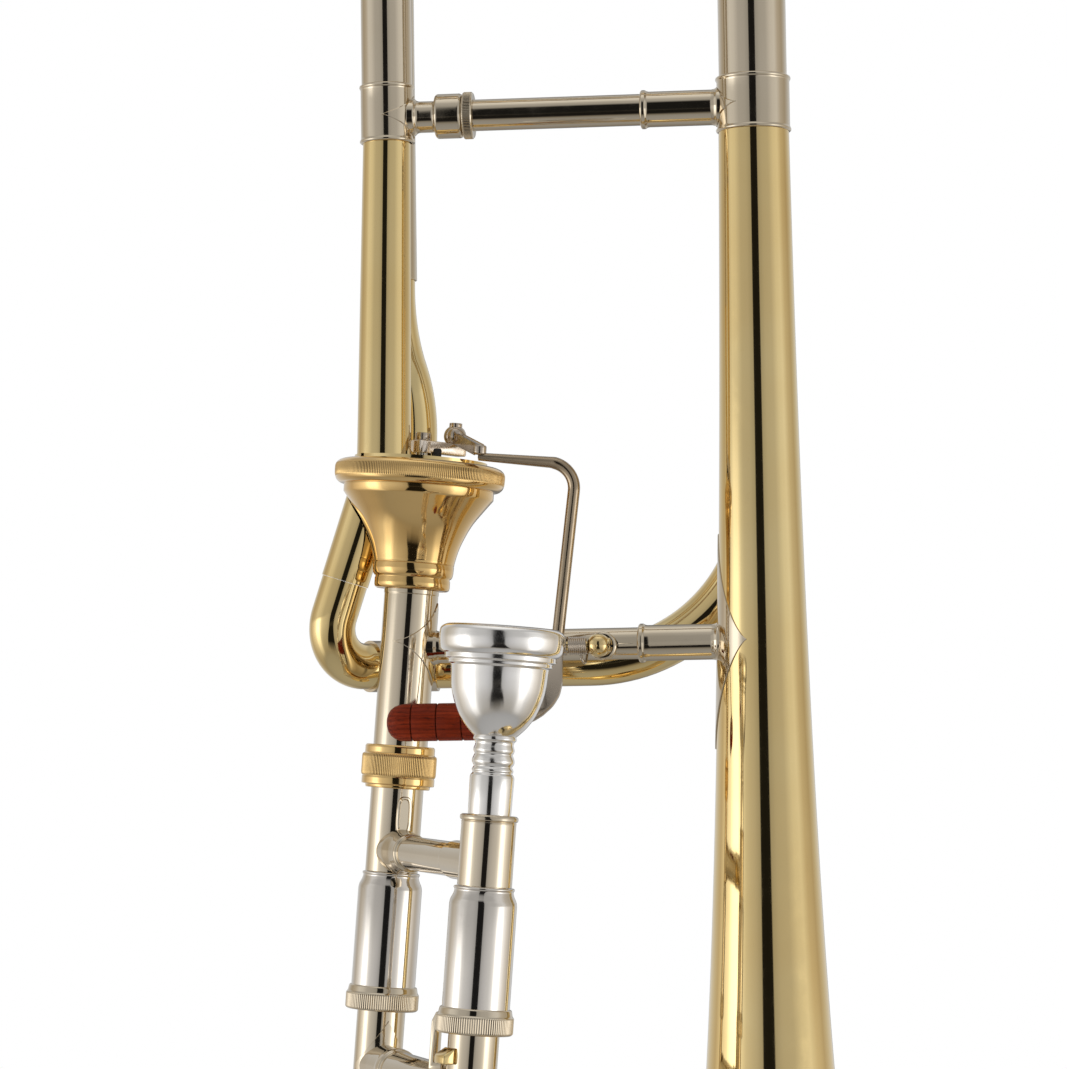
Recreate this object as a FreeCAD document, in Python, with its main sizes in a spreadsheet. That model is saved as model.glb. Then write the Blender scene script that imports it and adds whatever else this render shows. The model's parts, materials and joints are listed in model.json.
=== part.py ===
"""Tenor trombone with an F attachment and a conical axial-flow valve, held bell down.

Millimetres. The origin is the centre of the bell's mouth, +Z runs up the bell to the
tuning slide, +X runs from the neck side to the bell side, and the player's mouthpiece
side is -Y. The valve, neckpipe and handslide share one axis, tilted in the XZ plane:
they are placed through SLIDE, whose origin is the centre of the valve's back plate.
"""
import FreeCAD, Part
import math
import os

import Sketcher
from FreeCAD import Placement, Rotation, Vector

SIZES = {
    # bell: outer radius = scale / (z + shift)^power + taper * z - drop
    "flare_scale": 860.9, "flare_shift": 34.07, "flare_power": 0.5257,
    "flare_taper": 0.01665, "flare_drop": 27.8, "flare_start": 0.9, "flare_end": 566,
    "bell_wall": 0.5, "rim_radius": 108, "bead_radius": 1.6, "wire_radius": 1.0,
    # the two legs over the bell section and the main tuning slide
    "neck_leg_x": -121.5, "leg_wall": 0.5, "sleeve_top": 640, "legs_bottom": 582,
    "bell_ferrule_bottom": 552.7, "bell_ferrule_top": 571, "bell_ferrule_radius": 11.95,
    "bell_sleeve_radius": 11.15, "bell_tail_bore": 11.62, "neck_ferrule_bottom": 552.8,
    "neck_ferrule_top": 572.3, "neck_ferrule_radius": 8.8, "neck_sleeve_radius": 8.45,
    "neck_tail_bore": 8.15, "neck_tail_top": 565.3, "ring_width": 5, "ring_step": 0.8,
    "running_gap": 0.05, "bow_radius": 9.8, "bow_wall": 0.6, "bow_base": 660,
    "bow_ferrule_length": 10, "bow_brace_radius": 3, "bow_brace_drop": 5,
    # gooseneck
    "gooseneck_top_radius": 7.8, "gooseneck_low_radius": 9, "gooseneck_wall": 0.6,
    "gooseneck_port_x": -10.9, "gooseneck_port_y": -8.2,
    # braces of the bell section
    "brace_radius": 5.2, "brace_wall": 0.7, "brace_sleeve_radius": 5.85,
    "upper_brace_height": 561.4, "lower_brace_height": 385.7, "low_flange_half": 35,
    "upper_sleeve_reach": 37.1, "lower_sleeve_reach": 35.4,
    "socket_radius": 7.4, "socket_length": 9.2, "stub_length": 6.4, "nut_radius": 7.8,
    "nut_length": 3.6, "flange_thick": 0.8,
    # slide frame and valve
    "valve_x": -112.6, "valve_y": 7, "valve_z": 448, "slide_tilt": 4.85,
    "plate_radius": 22, "plate_thick": 1.3, "rim_ring_radius": 28.25,
    "rim_ring_height": 8.6, "casing_wall": 0.8, "collar_depth": 43.2,
    "spindle_radius": 2, "rotor_radius": 20, "rotor_tip_radius": 10, "passage_radius": 7,
    "f_port_x": -4.7, "f_port_y": 13, "arm_throw": 12.6, "arm_angle": 40,
    "arm_swing": 60, "arm_base": 2.6, "arm_thick": 3.9, "arm_width": 5, "hub_radius": 3,
    "ball_radius": 3.7, "stud_radius": 1.2, "cap_radius": 2.1, "head_radius": 2.5,
    "boss_radius": 1.9, "post_radius": 1.4, "post_reach": 9,
    # neckpipe, lock nut and handslide, as depths below the back plate
    "neckpipe_radius": 8.95, "neckpipe_wall": 0.65, "neckpipe_end": 101,
    "lock_nut_radius": 12.2, "lock_collar_radius": 11.4, "lock_nut_bore": 9.05,
    "tenon_radius": 8.65, "tenon_bore": 7.3, "lug_depth": 117.7, "lug_half_width": 2.6,
    "lug_half_height": 6.2, "barrel_top": 136.5, "barrel_bottom": 175.9,
    "barrel_radius": 10.5, "barrel_bore": 9, "knurl_radius": 12, "knurl_bottom": 181.8,
    "inner_tube_radius": 7.22, "inner_tube_bore": 6.9, "inner_tube_end": 825,
    "outer_tube_radius": 7.9, "outer_tube_bore": 7.3, "outer_tube_top": 152,
    "bow_centre_depth": 839, "mouth_x": 41, "mouth_y": -78.4,
    "receiver_top": 114.4, "receiver_radius": 8.5, "grip_brace_depth": 129.5,
    "grip_brace_radius": 5.5, "outer_brace_depth": 200, "outer_brace_radius": 6.5,
    "lock_arm_angle": 160, "lock_catch_angle": 215, "catch_reach": 11.6,
    # F attachment
    "f_tube_radius": 7.7, "f_tube_wall": 0.5, "f_plane_y": 30, "f_neck_x": -125,
    "f_bell_x": -2.5, "f_run_z": 380.5, "f_quarter_radius": 56.5, "f_elbow_radius": 14,
    "f_sleeve_radius": 8.4, "f_sleeve_bottom": 508, "f_sleeve_top": 640,
    "f_legs_bottom": 580, "f_bow_base": 655,
    # thumb lever
    "hinge_y": -9, "hinge_z": 384.8, "rod_radius": 2, "rod_bend": 8.5, "barrel_left": -75.3,
    "barrel_right": -63.3, "lever_barrel_radius": 3.1, "pin_radius": 1.5,
    "grip_radius": 6.1, "grip_left": -120.9, "grip_right": -81.4, "grip_y": -20,
    "grip_z": 360.5, "screw_ball_radius": 3.85, "screw_ball_x": -52.9,
    # water key on the slide bow
    "key_offset": 16, "key_pivot_reach": 14, "key_pin_radius": 0.9, "key_arm": 34,
    "key_width": 5, "key_thick": 1.6, "key_dish_radius": 4.2, "key_cork_radius": 3.3,
    "nipple_radius": 3.6, "nipple_bore": 2, "nipple_length": 4,
}

doc = FreeCAD.newDocument("Trombone")
sheet = doc.addObject("Spreadsheet::Sheet", "Sizes")
for row, (alias, number) in enumerate(SIZES.items(), start=1):
    sheet.set("A%d" % row, alias)
    sheet.set("B%d" % row, str(number))
    sheet.setAlias("B%d" % row, alias)
doc.recompute()

nodes = {}
UP, EAST, NORTH = Vector(0, 0, 1), Vector(1, 0, 0), Vector(0, 1, 0)


def size(alias):
    """Number held by the sheet."""
    return float(getattr(sheet, alias))


def formula(value):
    """Expression text: aliases in braces become references to the sheet."""
    return str(value).replace("{", "Sizes.").replace("}", "")


def bind(thing, **sizes):
    for name, value in sizes.items():
        thing.setExpression(name, formula(value))
    return thing


def at(x, y, z, axis=UP, angle=0.0):
    return Placement(Vector(x, y, z), Rotation(axis, angle))


def along(start, end):
    """Placement whose +Z runs from start to end."""
    return Placement(start, Rotation(UP, end - start))


SLIDE = at(size("valve_x"), size("valve_y"), size("valve_z"), NORTH, size("slide_tilt"))
MOUTH = SLIDE.multiply(at(size("mouth_x"), size("mouth_y"), 0))
BRACE_TURN = math.degrees(math.atan2(size("mouth_y"), size("mouth_x")))
SPACING = math.hypot(size("mouth_x"), size("mouth_y"))


def in_slide(x, y, z, axis=UP, angle=0.0):
    return SLIDE.multiply(at(x, y, z, axis, angle))


def keep(label, thing, place=None):
    """Register a finished sub-part under its own label."""
    thing.Label = label
    if place is not None:
        thing.Placement = place
    nodes[label] = thing
    return thing


def cylinder(radius, height, place=None):
    rod = bind(doc.addObject("Part::Cylinder", "Rod"), Radius=radius, Height=height)
    if place is not None:
        rod.Placement = place
    return rod


def cone(low, high, height, place=None):
    taper = bind(doc.addObject("Part::Cone", "Taper"), Radius1=low, Radius2=high, Height=height)
    if place is not None:
        taper.Placement = place
    return taper


def box(length, width, height, place):
    block = bind(doc.addObject("Part::Box", "Block"), Length=length, Width=width, Height=height)
    block.Placement = place
    return block


def ball(radius, place):
    globe = bind(doc.addObject("Part::Sphere", "Globe"), Radius=radius)
    globe.Placement = place
    return globe


def cut(base, tool):
    result = doc.addObject("Part::Cut", "Trimmed")
    result.Base, result.Tool = base, tool
    return result


def fuse(*pieces):
    result = doc.addObject("Part::MultiFuse", "Joined")
    result.Shapes = list(pieces)
    return result


def group(*pieces):
    result = doc.addObject("Part::Compound", "Set")
    result.Links = list(pieces)
    return result


def tube(outer, inner, length, place=None):
    pipe = cut(cylinder(outer, length), cylinder(inner, length))
    if place is not None:
        pipe.Placement = place
    return pipe


def bow(sweep, outer, inner, angle, place=None):
    """Part of a ring-shaped tube, from +X round to the given angle."""
    rings = []
    for radius in (outer, inner):
        ring = bind(doc.addObject("Part::Torus", "Ring"), Radius1=sweep, Radius2=radius)
        ring.Angle3 = angle
        rings.append(ring)
    bent = cut(*rings)
    if place is not None:
        bent.Placement = place
    return bent


def role_plane(body, role):
    return next(f for f in body.Origin.OriginFeatures if f.Role == role)


def sketch_outline(body, outline, role):
    """Closed polygon in an origin plane, each corner held by two bound distances."""
    sketch = body.newObject("Sketcher::SketchObject", "Outline")
    sketch.AttachmentSupport = [(role_plane(body, role), "")]
    sketch.MapMode = "FlatFace"
    corners = [Vector(i, i * i, 0) for i in range(len(outline))]
    for i, corner in enumerate(corners):
        sketch.addGeometry(Part.LineSegment(corner, corners[(i + 1) % len(corners)]))
    for i in range(len(corners)):
        sketch.addConstraint(constraint("Coincident", i, 2, (i + 1) % len(corners), 1))
    for i, (across, along_axis) in enumerate(outline):
        for kind, value, flat_axis in (("DistanceX", across, -2), ("DistanceY", along_axis, -1)):
            if str(value) == "0":
                sketch.addConstraint(constraint("PointOnObject", i, 1, flat_axis))
                continue
            number = sketch.addConstraint(constraint(kind, -1, 1, i, 1, corners[i].x + 1))
            sketch.setExpression("Constraints[%d]" % number, formula(value))
    return sketch


def constraint(*terms):
    return Sketcher.Constraint(*terms)


def turned(outline, place=None):
    """Body turned about its own Z from a closed outline of (radius, height)."""
    body = doc.addObject("PartDesign::Body", "Turned")
    sketch = sketch_outline(body, outline, "XZ_Plane")
    spin = body.newObject("PartDesign::Revolution", "Turn")
    spin.Profile = sketch
    spin.ReferenceAxis = (sketch, ["V_Axis"])
    spin.Angle = 360
    body.Tip = spin
    if place is not None:
        body.Placement = place
    return body


def padded(outline, thickness, place=None):
    """Plate padded along +Z from a closed outline of (x, y)."""
    body = doc.addObject("PartDesign::Body", "Plate")
    sketch = sketch_outline(body, outline, "XY_Plane")
    pad = body.newObject("PartDesign::Pad", "Thickness")
    pad.Profile = sketch
    bind(pad, Length=thickness)
    body.Tip = pad
    if place is not None:
        body.Placement = place
    return body


def spun_wall(points, wall):
    """Flared shell: a smooth outer line through points, an even wall inside it."""
    outside = Part.BSplineCurve()
    outside.interpolate([Vector(r, 0, z) for r, z in points])
    inside_points = []
    for r, z in points:
        slope = outside.tangent(outside.parameter(Vector(r, 0, z)))[0]
        normal = Vector(slope.z, 0, -slope.x).normalize()
        if normal.x > 0:
            normal = -normal
        inside_points.append(Vector(r, 0, z) + normal * wall)
    inside = Part.BSplineCurve()
    inside.interpolate(inside_points)
    ends = [Part.makeLine(outside.value(outside.FirstParameter), inside_points[0]),
            Part.makeLine(outside.value(outside.LastParameter), inside_points[-1])]
    section = Part.Face(Part.Wire(Part.__sortEdges__([outside.toShape(), inside.toShape()] + ends)))
    shell = doc.addObject("Part::Feature", "Flare")
    shell.Shape = section.revolve(Vector(), UP, 360)
    return shell


def route_wire(points, radii):
    """Straight runs joined by tangent arcs, one radius for each inner point."""
    edges, start = [], points[0]
    for i in range(1, len(points) - 1):
        before = (points[i - 1] - points[i]).normalize()
        after = (points[i + 1] - points[i]).normalize()
        half = before.getAngle(after) / 2
        reach = radii[i - 1] / math.tan(half)
        centre = points[i] + (before + after).normalize() * (radii[i - 1] / math.sin(half))
        first, last = points[i] + before * reach, points[i] + after * reach
        middle = centre + (points[i] - centre).normalize() * radii[i - 1]
        if (first - start).Length > 1e-4:
            edges.append(Part.LineSegment(start, first).toShape())
        edges.append(Part.Arc(first, middle, last).toShape())
        start = last
    if (points[-1] - start).Length > 1e-4:
        edges.append(Part.LineSegment(start, points[-1]).toShape())
    return Part.Wire(edges)


def swept(points, radii, radius):
    """Round bar swept along a route, its section bound to the sheet."""
    spine = doc.addObject("Part::Feature", "Route")
    spine.Shape = route_wire(points, radii)
    circle = bind(doc.addObject("Part::Circle", "Section"), Radius=radius)
    circle.Placement = along(points[0], points[1])
    bar = doc.addObject("Part::Sweep", "Bent")
    bar.Sections = [circle]
    bar.Spine = (spine, ["Edge%d" % (i + 1) for i in range(len(spine.Shape.Edges))])
    bar.Solid = True
    bar.Frenet = False
    return bar


def bent_tube(points, radii, outer, inner):
    return cut(swept(points, radii, outer), swept(points, radii, inner))


def saddle(radius, tip, half_height, place, narrowing=0):
    """Diamond flange wrapped on a tube, its brace leaving along local +X."""
    reach = "(%s) + {flange_thick} + 0.4" % radius
    bend_x = "0.45 * (%s) + 0.55 * (%s)" % (reach, tip)
    outline = [(tip, 0), (bend_x, "0.33 * (%s)" % half_height), (reach, half_height),
               (reach, "-(%s)" % half_height), (bend_x, "-0.33 * (%s)" % half_height)]
    depth = "2 * ((%s) + 3)" % radius
    blade = padded(outline, depth, at(0, 0, 0, EAST, 90))
    blade.Placement = Placement(Vector(0, size_of("(%s) + 3" % radius), 0), Rotation(EAST, 90))
    length = "2 * (%s)" % half_height
    skins = [cone("(%s) + %s + %s" % (radius, narrowing, gap), "(%s) - %s + %s" % (
        radius, narrowing, gap), length) if narrowing else
        cylinder("(%s) + %s" % (radius, gap), length) for gap in ("{flange_thick}", "0.08")]
    shell = cut(*skins)
    shell.Placement = at(0, 0, -size_of(half_height))
    wrap = doc.addObject("Part::Common", "Saddle")
    wrap.Base, wrap.Tool = blade, shell
    wrap.Placement = place
    return wrap


def size_of(value):
    """Number of a formula written with sheet aliases in braces."""
    text = str(value)
    probe = doc.addObject("App::FeaturePython", "Probe")
    probe.addProperty("App::PropertyFloat", "Result")
    probe.setExpression("Result", formula(text))
    doc.recompute([probe])
    number = probe.Result
    doc.removeObject(probe.Name)
    return number


def flare_radius(z):
    """Outer radius of the bell at a height above its mouth."""
    return (size("flare_scale") / (z + size("flare_shift")) ** size("flare_power")
            + size("flare_taper") * z - size("flare_drop"))


def bell_envelope_cone(low, high, z, half):
    """Solid the size of the bell and its flange over one stretch, to trim a brace with."""
    thick = " + {flange_thick}"
    return cone(str(low) + thick, str(high) + thick, 2 * half, at(0, 0, z - half))


def bell():
    """Flared bell, the wire in its rolled rim, ferrules and slide sleeves of both legs."""
    start, end = size("flare_start"), size("flare_end")
    steps = 14
    heights = [start + (end - start) * (i / steps) ** 2.2 for i in range(steps + 1)]
    points = [(flare_radius(z), z) for z in heights]
    centre = "{rim_radius} - {bead_radius}"
    place = at(0, 0, size("bead_radius"))
    rolled = bow(centre, "{bead_radius}", "{wire_radius} + 0.05", 360, place)
    keep("bell_flare", fuse(spun_wall(points, size("bell_wall")), rolled))
    wire = bind(doc.addObject("Part::Torus", "Wire"), Radius1=centre, Radius2="{wire_radius}")
    keep("bell_rim_wire", wire, place)

    bell_leg = ferrule("{bell_ferrule_radius}", "{bell_tail_bore}", "{bell_sleeve_radius} + 0.05",
                       "{bell_ferrule_bottom}", "{flare_end}", "{bell_ferrule_top}")
    neck_leg = ferrule("{neck_ferrule_radius}", "{neck_tail_bore}", "{neck_sleeve_radius} + 0.05",
                       "{neck_ferrule_bottom}", "{neck_tail_top}", "{neck_ferrule_top}")
    neck_leg.Placement = at(size("neck_leg_x"), 0, 0)
    keep("leg_ferrules", group(bell_leg, neck_leg))

    sleeves = [sleeve("{bell_sleeve_radius}", "{flare_end} + 0.1", "{sleeve_top}", 0, 0),
               sleeve("{neck_sleeve_radius}", "{neck_tail_top} + 0.1", "{sleeve_top}",
                      size("neck_leg_x"), 0)]
    for x in ("f_neck_x", "f_bell_x"):
        sleeves.append(sleeve("{f_sleeve_radius}", "{f_sleeve_bottom}", "{f_sleeve_top}",
                              size(x), size("f_plane_y")))
    keep("slide_sleeves", group(*sleeves))


def ferrule(outer, low_bore, high_bore, bottom, step, top):
    """Ring over a tube joint, beaded at both ends."""
    bead = "%s + 0.4" % outer
    return turned([(low_bore, bottom), (outer, bottom), (bead, bottom + " + 0.6"),
                   (outer, bottom + " + 1.4"), (outer, top + " - 1.4"), (bead, top + " - 0.7"),
                   (outer, top), (high_bore, top), (high_bore, step), (low_bore, step)])


def sleeve(outer, bottom, top, x, y):
    """Outer slide tube with a stiffening ring at its open end."""
    bore = outer + " - {leg_wall}"
    ring = outer + " + {ring_step}"
    return turned([(bore, bottom), (outer, bottom), (outer, top + " - {ring_width}"),
                   (ring, top + " - {ring_width} + 0.8"), (ring, top + " - 0.8"),
                   (outer, top), (bore, top)], at(x, y, 0))


def gooseneck():
    """Tapered neck tube from the tuning slide leg down to its port on the valve."""
    top = Vector(size("neck_leg_x"), 0, size("neck_tail_top"))
    port = SLIDE.multVec(Vector(size("gooseneck_port_x"), size("gooseneck_port_y"), -4))
    length = (top - port).Length
    outside = cone("{gooseneck_low_radius}", "{gooseneck_top_radius}", length)
    inside = cone("{gooseneck_low_radius} - {gooseneck_wall}",
                  "{gooseneck_top_radius} - {gooseneck_wall}", length)
    neck = cut(outside, inside)
    neck.Placement = along(port, top)
    below_plate = cylinder("{rim_ring_radius} + 2", 12, in_slide(0, 0, -12))
    keep("gooseneck", cut(neck, below_plate))


def tuning_slide(name, legs_at, y, radii, bottom, base):
    """Two inner legs, their ferrules, a cross brace and the bow over them."""
    top = size(base)
    half = (legs_at[1] - legs_at[0]) / 2
    height = "{%s}" % base
    legs, rings = [], []
    for x, radius in zip(legs_at, radii):
        length = "%s - {%s} - {running_gap}" % (height, bottom)
        legs.append(tube(radius, radius + " - {leg_wall}", length, at(x, y, size(bottom))))
        step = height + " - {bow_ferrule_length}"
        wide = "{bow_radius} + 0.9"
        rings.append(turned([(radius + " + 0.03", step), (radius + " + 1.2", step),
                             (wide, step + " + 4"), (wide, height + " - 0.1"),
                             (radius + " + 0.03", height + " - 0.1")], at(x, y, 0)))
    keep(name + "_legs", group(*legs))
    keep(name + "_ferrules", group(*rings))
    arch = bow(half, "{bow_radius}", "{bow_radius} - {bow_wall}", 180)
    keep(name + "_bow", arch, at(legs_at[0] + half, y, top, EAST, 90))
    level = top - size("bow_brace_drop")
    bar = cylinder("{bow_brace_radius}", 2 * half, at(legs_at[0], y, level, NORTH, 90))
    for x in legs_at:
        bar = cut(bar, cylinder("{bow_radius} + 1.7", 12, at(x, y, level - 6)))
    keep(name + "_brace", bar)


def brace_sleeve(place, length, throat):
    """Ringed sleeve over the bell end of a brace, trimmed to the bell's flange."""
    ring, bore = "{brace_sleeve_radius} + 0.55", "{brace_radius} + 0.02"
    body = turned([(bore, 0), (ring, 0), (ring, 1.6), ("{brace_sleeve_radius}", 2.4),
                   ("{brace_sleeve_radius}", length), (bore, length)], place)
    return cut(body, throat)


def lower_brace_level():
    """Height of the lower brace along the slide axis, measured from the back plate."""
    drop = size("lower_brace_height") - size("valve_z")
    return drop / math.cos(math.radians(size("slide_tilt")))


def bell_braces():
    """Upper brace with its nut, lower brace, and the diamond flanges of both."""
    neck_x = size("neck_leg_x")
    z = size("upper_brace_height")
    start = size("neck_ferrule_radius") + size("flange_thick")
    stub_end = start + size("stub_length")
    stub = cylinder("{brace_radius}", stub_end, at(neck_x, 0, z, NORTH, 90))
    collar = cylinder("{socket_radius}", "{socket_length}", at(neck_x + stub_end, 0, z, NORTH, 90))
    envelope = cylinder("{neck_ferrule_radius} + {flange_thick}", 30, at(neck_x, 0, z - 15))
    keep("upper_brace_socket", cut(fuse(stub, collar), envelope))
    nut_x = neck_x + stub_end + size("socket_length")
    nut = tube("{nut_radius}", "{brace_radius} + 0.1", "{nut_length}")
    keep("upper_brace_nut", nut, at(nut_x + 0.15, 0, z, NORTH, 90))
    rod = tube("{brace_radius}", "{brace_radius} - {brace_wall}", -nut_x,
               at(nut_x, 0, z, NORTH, 90))
    bell_envelope = cylinder("{bell_ferrule_radius} + {flange_thick}", 30, at(0, 0, z - 15))
    keep("upper_brace_tube", cut(rod, bell_envelope))

    low_z, level = size("lower_brace_height"), lower_brace_level()
    neck, bell_axis = SLIDE.multVec(Vector(0, 0, level)), Vector(0, 0, low_z)
    half = size("low_flange_half")
    bell_low, bell_high = flare_radius(low_z - half), flare_radius(low_z + half)
    bell_radius = (bell_low + bell_high) / 2
    run = (bell_axis - neck).Length
    low_place = along(neck, bell_axis)
    low_rod = tube("{brace_radius}", "{brace_radius} - {brace_wall}", run, low_place)
    pipe = cylinder("{neckpipe_radius} + {flange_thick}", 60, in_slide(0, 0, -95))
    throats = [bell_envelope_cone(bell_low, bell_high, low_z, half) for _ in range(2)]
    keep("lower_brace_tube", cut(cut(low_rod, pipe), throats[0]))

    reach, low_reach = size("upper_sleeve_reach"), size("lower_sleeve_reach")
    upper_throat = cylinder("{bell_ferrule_radius} + {flange_thick}", 60, at(0, 0, z - 30))
    upper = brace_sleeve(at(-reach, 0, z, NORTH, 90), reach, upper_throat)
    lower_place = low_place.multiply(at(0, 0, run - low_reach))
    lower = brace_sleeve(lower_place, low_reach - bell_radius + 0.6, throats[1])
    keep("brace_sleeves", group(upper, lower))

    turn = math.degrees(math.atan2(-neck.y, -neck.x))
    narrowing = (bell_low - bell_high) / 2
    flanges = [saddle("{neck_ferrule_radius}", -0.8, 7, at(neck_x, 0, z)),
               saddle("{bell_ferrule_radius}", 5.2, 6.5, at(0, 0, z, UP, 180)),
               saddle("{neckpipe_radius}", -4.3, 13.5, in_slide(0, 0, level, UP, turn)),
               saddle(bell_radius, 7, half, at(0, 0, low_z, UP, 180), narrowing)]
    keep("brace_flanges", group(*flanges))


def valve():
    """Rim ring, back plate with its ports, conical casing, rotor and outlet collar."""
    rim, top, height = "{rim_ring_radius}", "{plate_thick}", "{rim_ring_height}"
    bore = "{plate_radius} + 0.05"
    ring = [(bore, -0.9), ("{plate_radius} + 3.5", "-" + top), (rim + " - 0.85", -1.9),
            (rim, -3.5), (rim, -7), (rim + " - 1.05", "-%s - 0.6" % height),
            ("{plate_radius} + 3", "-%s - 0.9" % height), (bore, "-%s - 0.9" % height)]
    keep("valve_rim_ring", turned(ring, SLIDE))
    plate = cylinder("{plate_radius}", top, in_slide(0, 0, -size("plate_thick")))
    for hole, x, y in (("{spindle_radius} + 0.06", 0, 0),
                       ("{f_tube_radius} - {f_tube_wall}", size("f_port_x"), size("f_port_y")),
                       ("{gooseneck_low_radius} - {gooseneck_wall}", size("gooseneck_port_x"),
                        size("gooseneck_port_y"))):
        plate = cut(plate, cylinder(hole, 6, in_slide(x, y, -3)))
    keep("valve_back_plate", plate)

    lip = size("plate_radius")
    outline = [(lip + 2.9, -9.75), (lip + 2.9, -12), (lip, -15.8), (18.85, -20.1), (16.75, -24),
               (14.75, -28.9), (13.5, -34), (12.85, -38.5),
               (12.3, -size("collar_depth"))]
    skirt = spun_wall(list(reversed(outline)), size("casing_wall"))
    mouth = tube(lip - 0.05, lip - size("casing_wall"), 10.5, at(0, 0, -12))
    keep("valve_casing", fuse(skirt, mouth), SLIDE)
    collar = "-{collar_depth}"
    pipe = "{neckpipe_radius} + 0.02"
    outlet = turned([(pipe, collar), (11.2, collar), (11.2, collar + " + 4"),
                     (pipe, collar + " + 4")], SLIDE)
    keep("valve_outlet_collar", outlet)

    spindle_top = "{arm_base} + {arm_thick}"
    plug = turned([(0, -38), ("{rotor_tip_radius}", -38), ("{rotor_radius}", -13),
                   ("{rotor_radius}", -2), ("{spindle_radius}", -2),
                   ("{spindle_radius}", spindle_top), (0, spindle_top)], SLIDE)
    way_in = Vector(size("gooseneck_port_x"), size("gooseneck_port_y"), -1)
    bore = cylinder("{passage_radius}", 50)
    bore.Placement = SLIDE.multiply(along(Vector(0, 0, -42), way_in))
    keep("valve_rotor", cut(plug, bore))


def arm_point(reach, angle, w=0.0):
    turn = math.radians(angle)
    return Vector(reach * math.cos(turn), reach * math.sin(turn), w)


def stop_arm():
    """Arm on the spindle with its screws and stops, and the link to the lever rod."""
    angle, base = size("arm_angle"), size("arm_base")
    hub = cylinder("{hub_radius}", "{arm_thick}", in_slide(0, 0, base))
    end = arm_point(size("arm_throw"), angle, base)
    tip = cylinder("{arm_width} / 2 + 0.4", "{arm_thick}", SLIDE.multiply(at(*end)))
    bar_place = in_slide(0, 0, base, UP, angle).multiply(at(0, -size("arm_width") / 2, 0))
    bar = box("{arm_throw}", "{arm_width}", "{arm_thick}", bar_place)
    spindle = cylinder("{spindle_radius} + 0.02", 12, in_slide(0, 0, -2))
    keep("stop_arm", cut(fuse(hub, tip, bar), spindle))

    top = base + size("arm_thick")
    head = cylinder("{head_radius}", 2.7, in_slide(0, 0, top + 0.02))
    centre = arm_point(size("arm_throw"), angle, top)
    stud = cylinder("{stud_radius}", 6.6, SLIDE.multiply(at(centre.x, centre.y, top + 0.02)))
    cap = cylinder("{cap_radius}", 1.4, SLIDE.multiply(at(centre.x, centre.y, top + 6.62)))
    keep("arm_screws", group(head, fuse(stud, cap)))

    stops = []
    for side in (angle + 26.4, angle - size("arm_swing") - 26.4):
        foot = arm_point(size("post_reach"), side)
        stops.append(cylinder("{post_radius}", 4.6, SLIDE.multiply(at(foot.x, foot.y, 0.02))))
    keep("stop_bumpers", group(*stops))

    eye = eye_point()
    boss = cylinder("{boss_radius}", 3.2, SLIDE.multiply(at(eye.x, eye.y, 1.75)))
    globe = ball("{ball_radius}", SLIDE.multiply(at(centre.x, centre.y, top + 3.2)))
    flat = cylinder("{ball_radius} + 2", 4, SLIDE.multiply(at(centre.x, centre.y, top - 3.85)))
    high = cylinder("{ball_radius} + 2", 4, SLIDE.multiply(at(centre.x, centre.y, top + 6.4)))
    run = Vector(eye.x - centre.x, eye.y - centre.y, 0)
    turn = math.degrees(math.atan2(run.y, run.x))
    side = padded([(0, 1.1), (run.Length, -4.6), (run.Length, -1.7), (0, 4.6)], 2)
    side.Placement = SLIDE.multiply(at(centre.x, centre.y, top, UP, turn)).multiply(
        Placement(Vector(0, 1, 0), Rotation(EAST, 90)))
    link = fuse(cut(cut(globe, flat), high), side, boss)
    bore = cylinder("{stud_radius} + 0.08", 12, SLIDE.multiply(at(centre.x, centre.y, top - 2)))
    keep("link", cut(link, bore))


def eye_point():
    """Where the link meets the lever rod, in the slide frame."""
    return SLIDE.inverse().multVec(Vector(-91, size("hinge_y"), 448))


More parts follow.
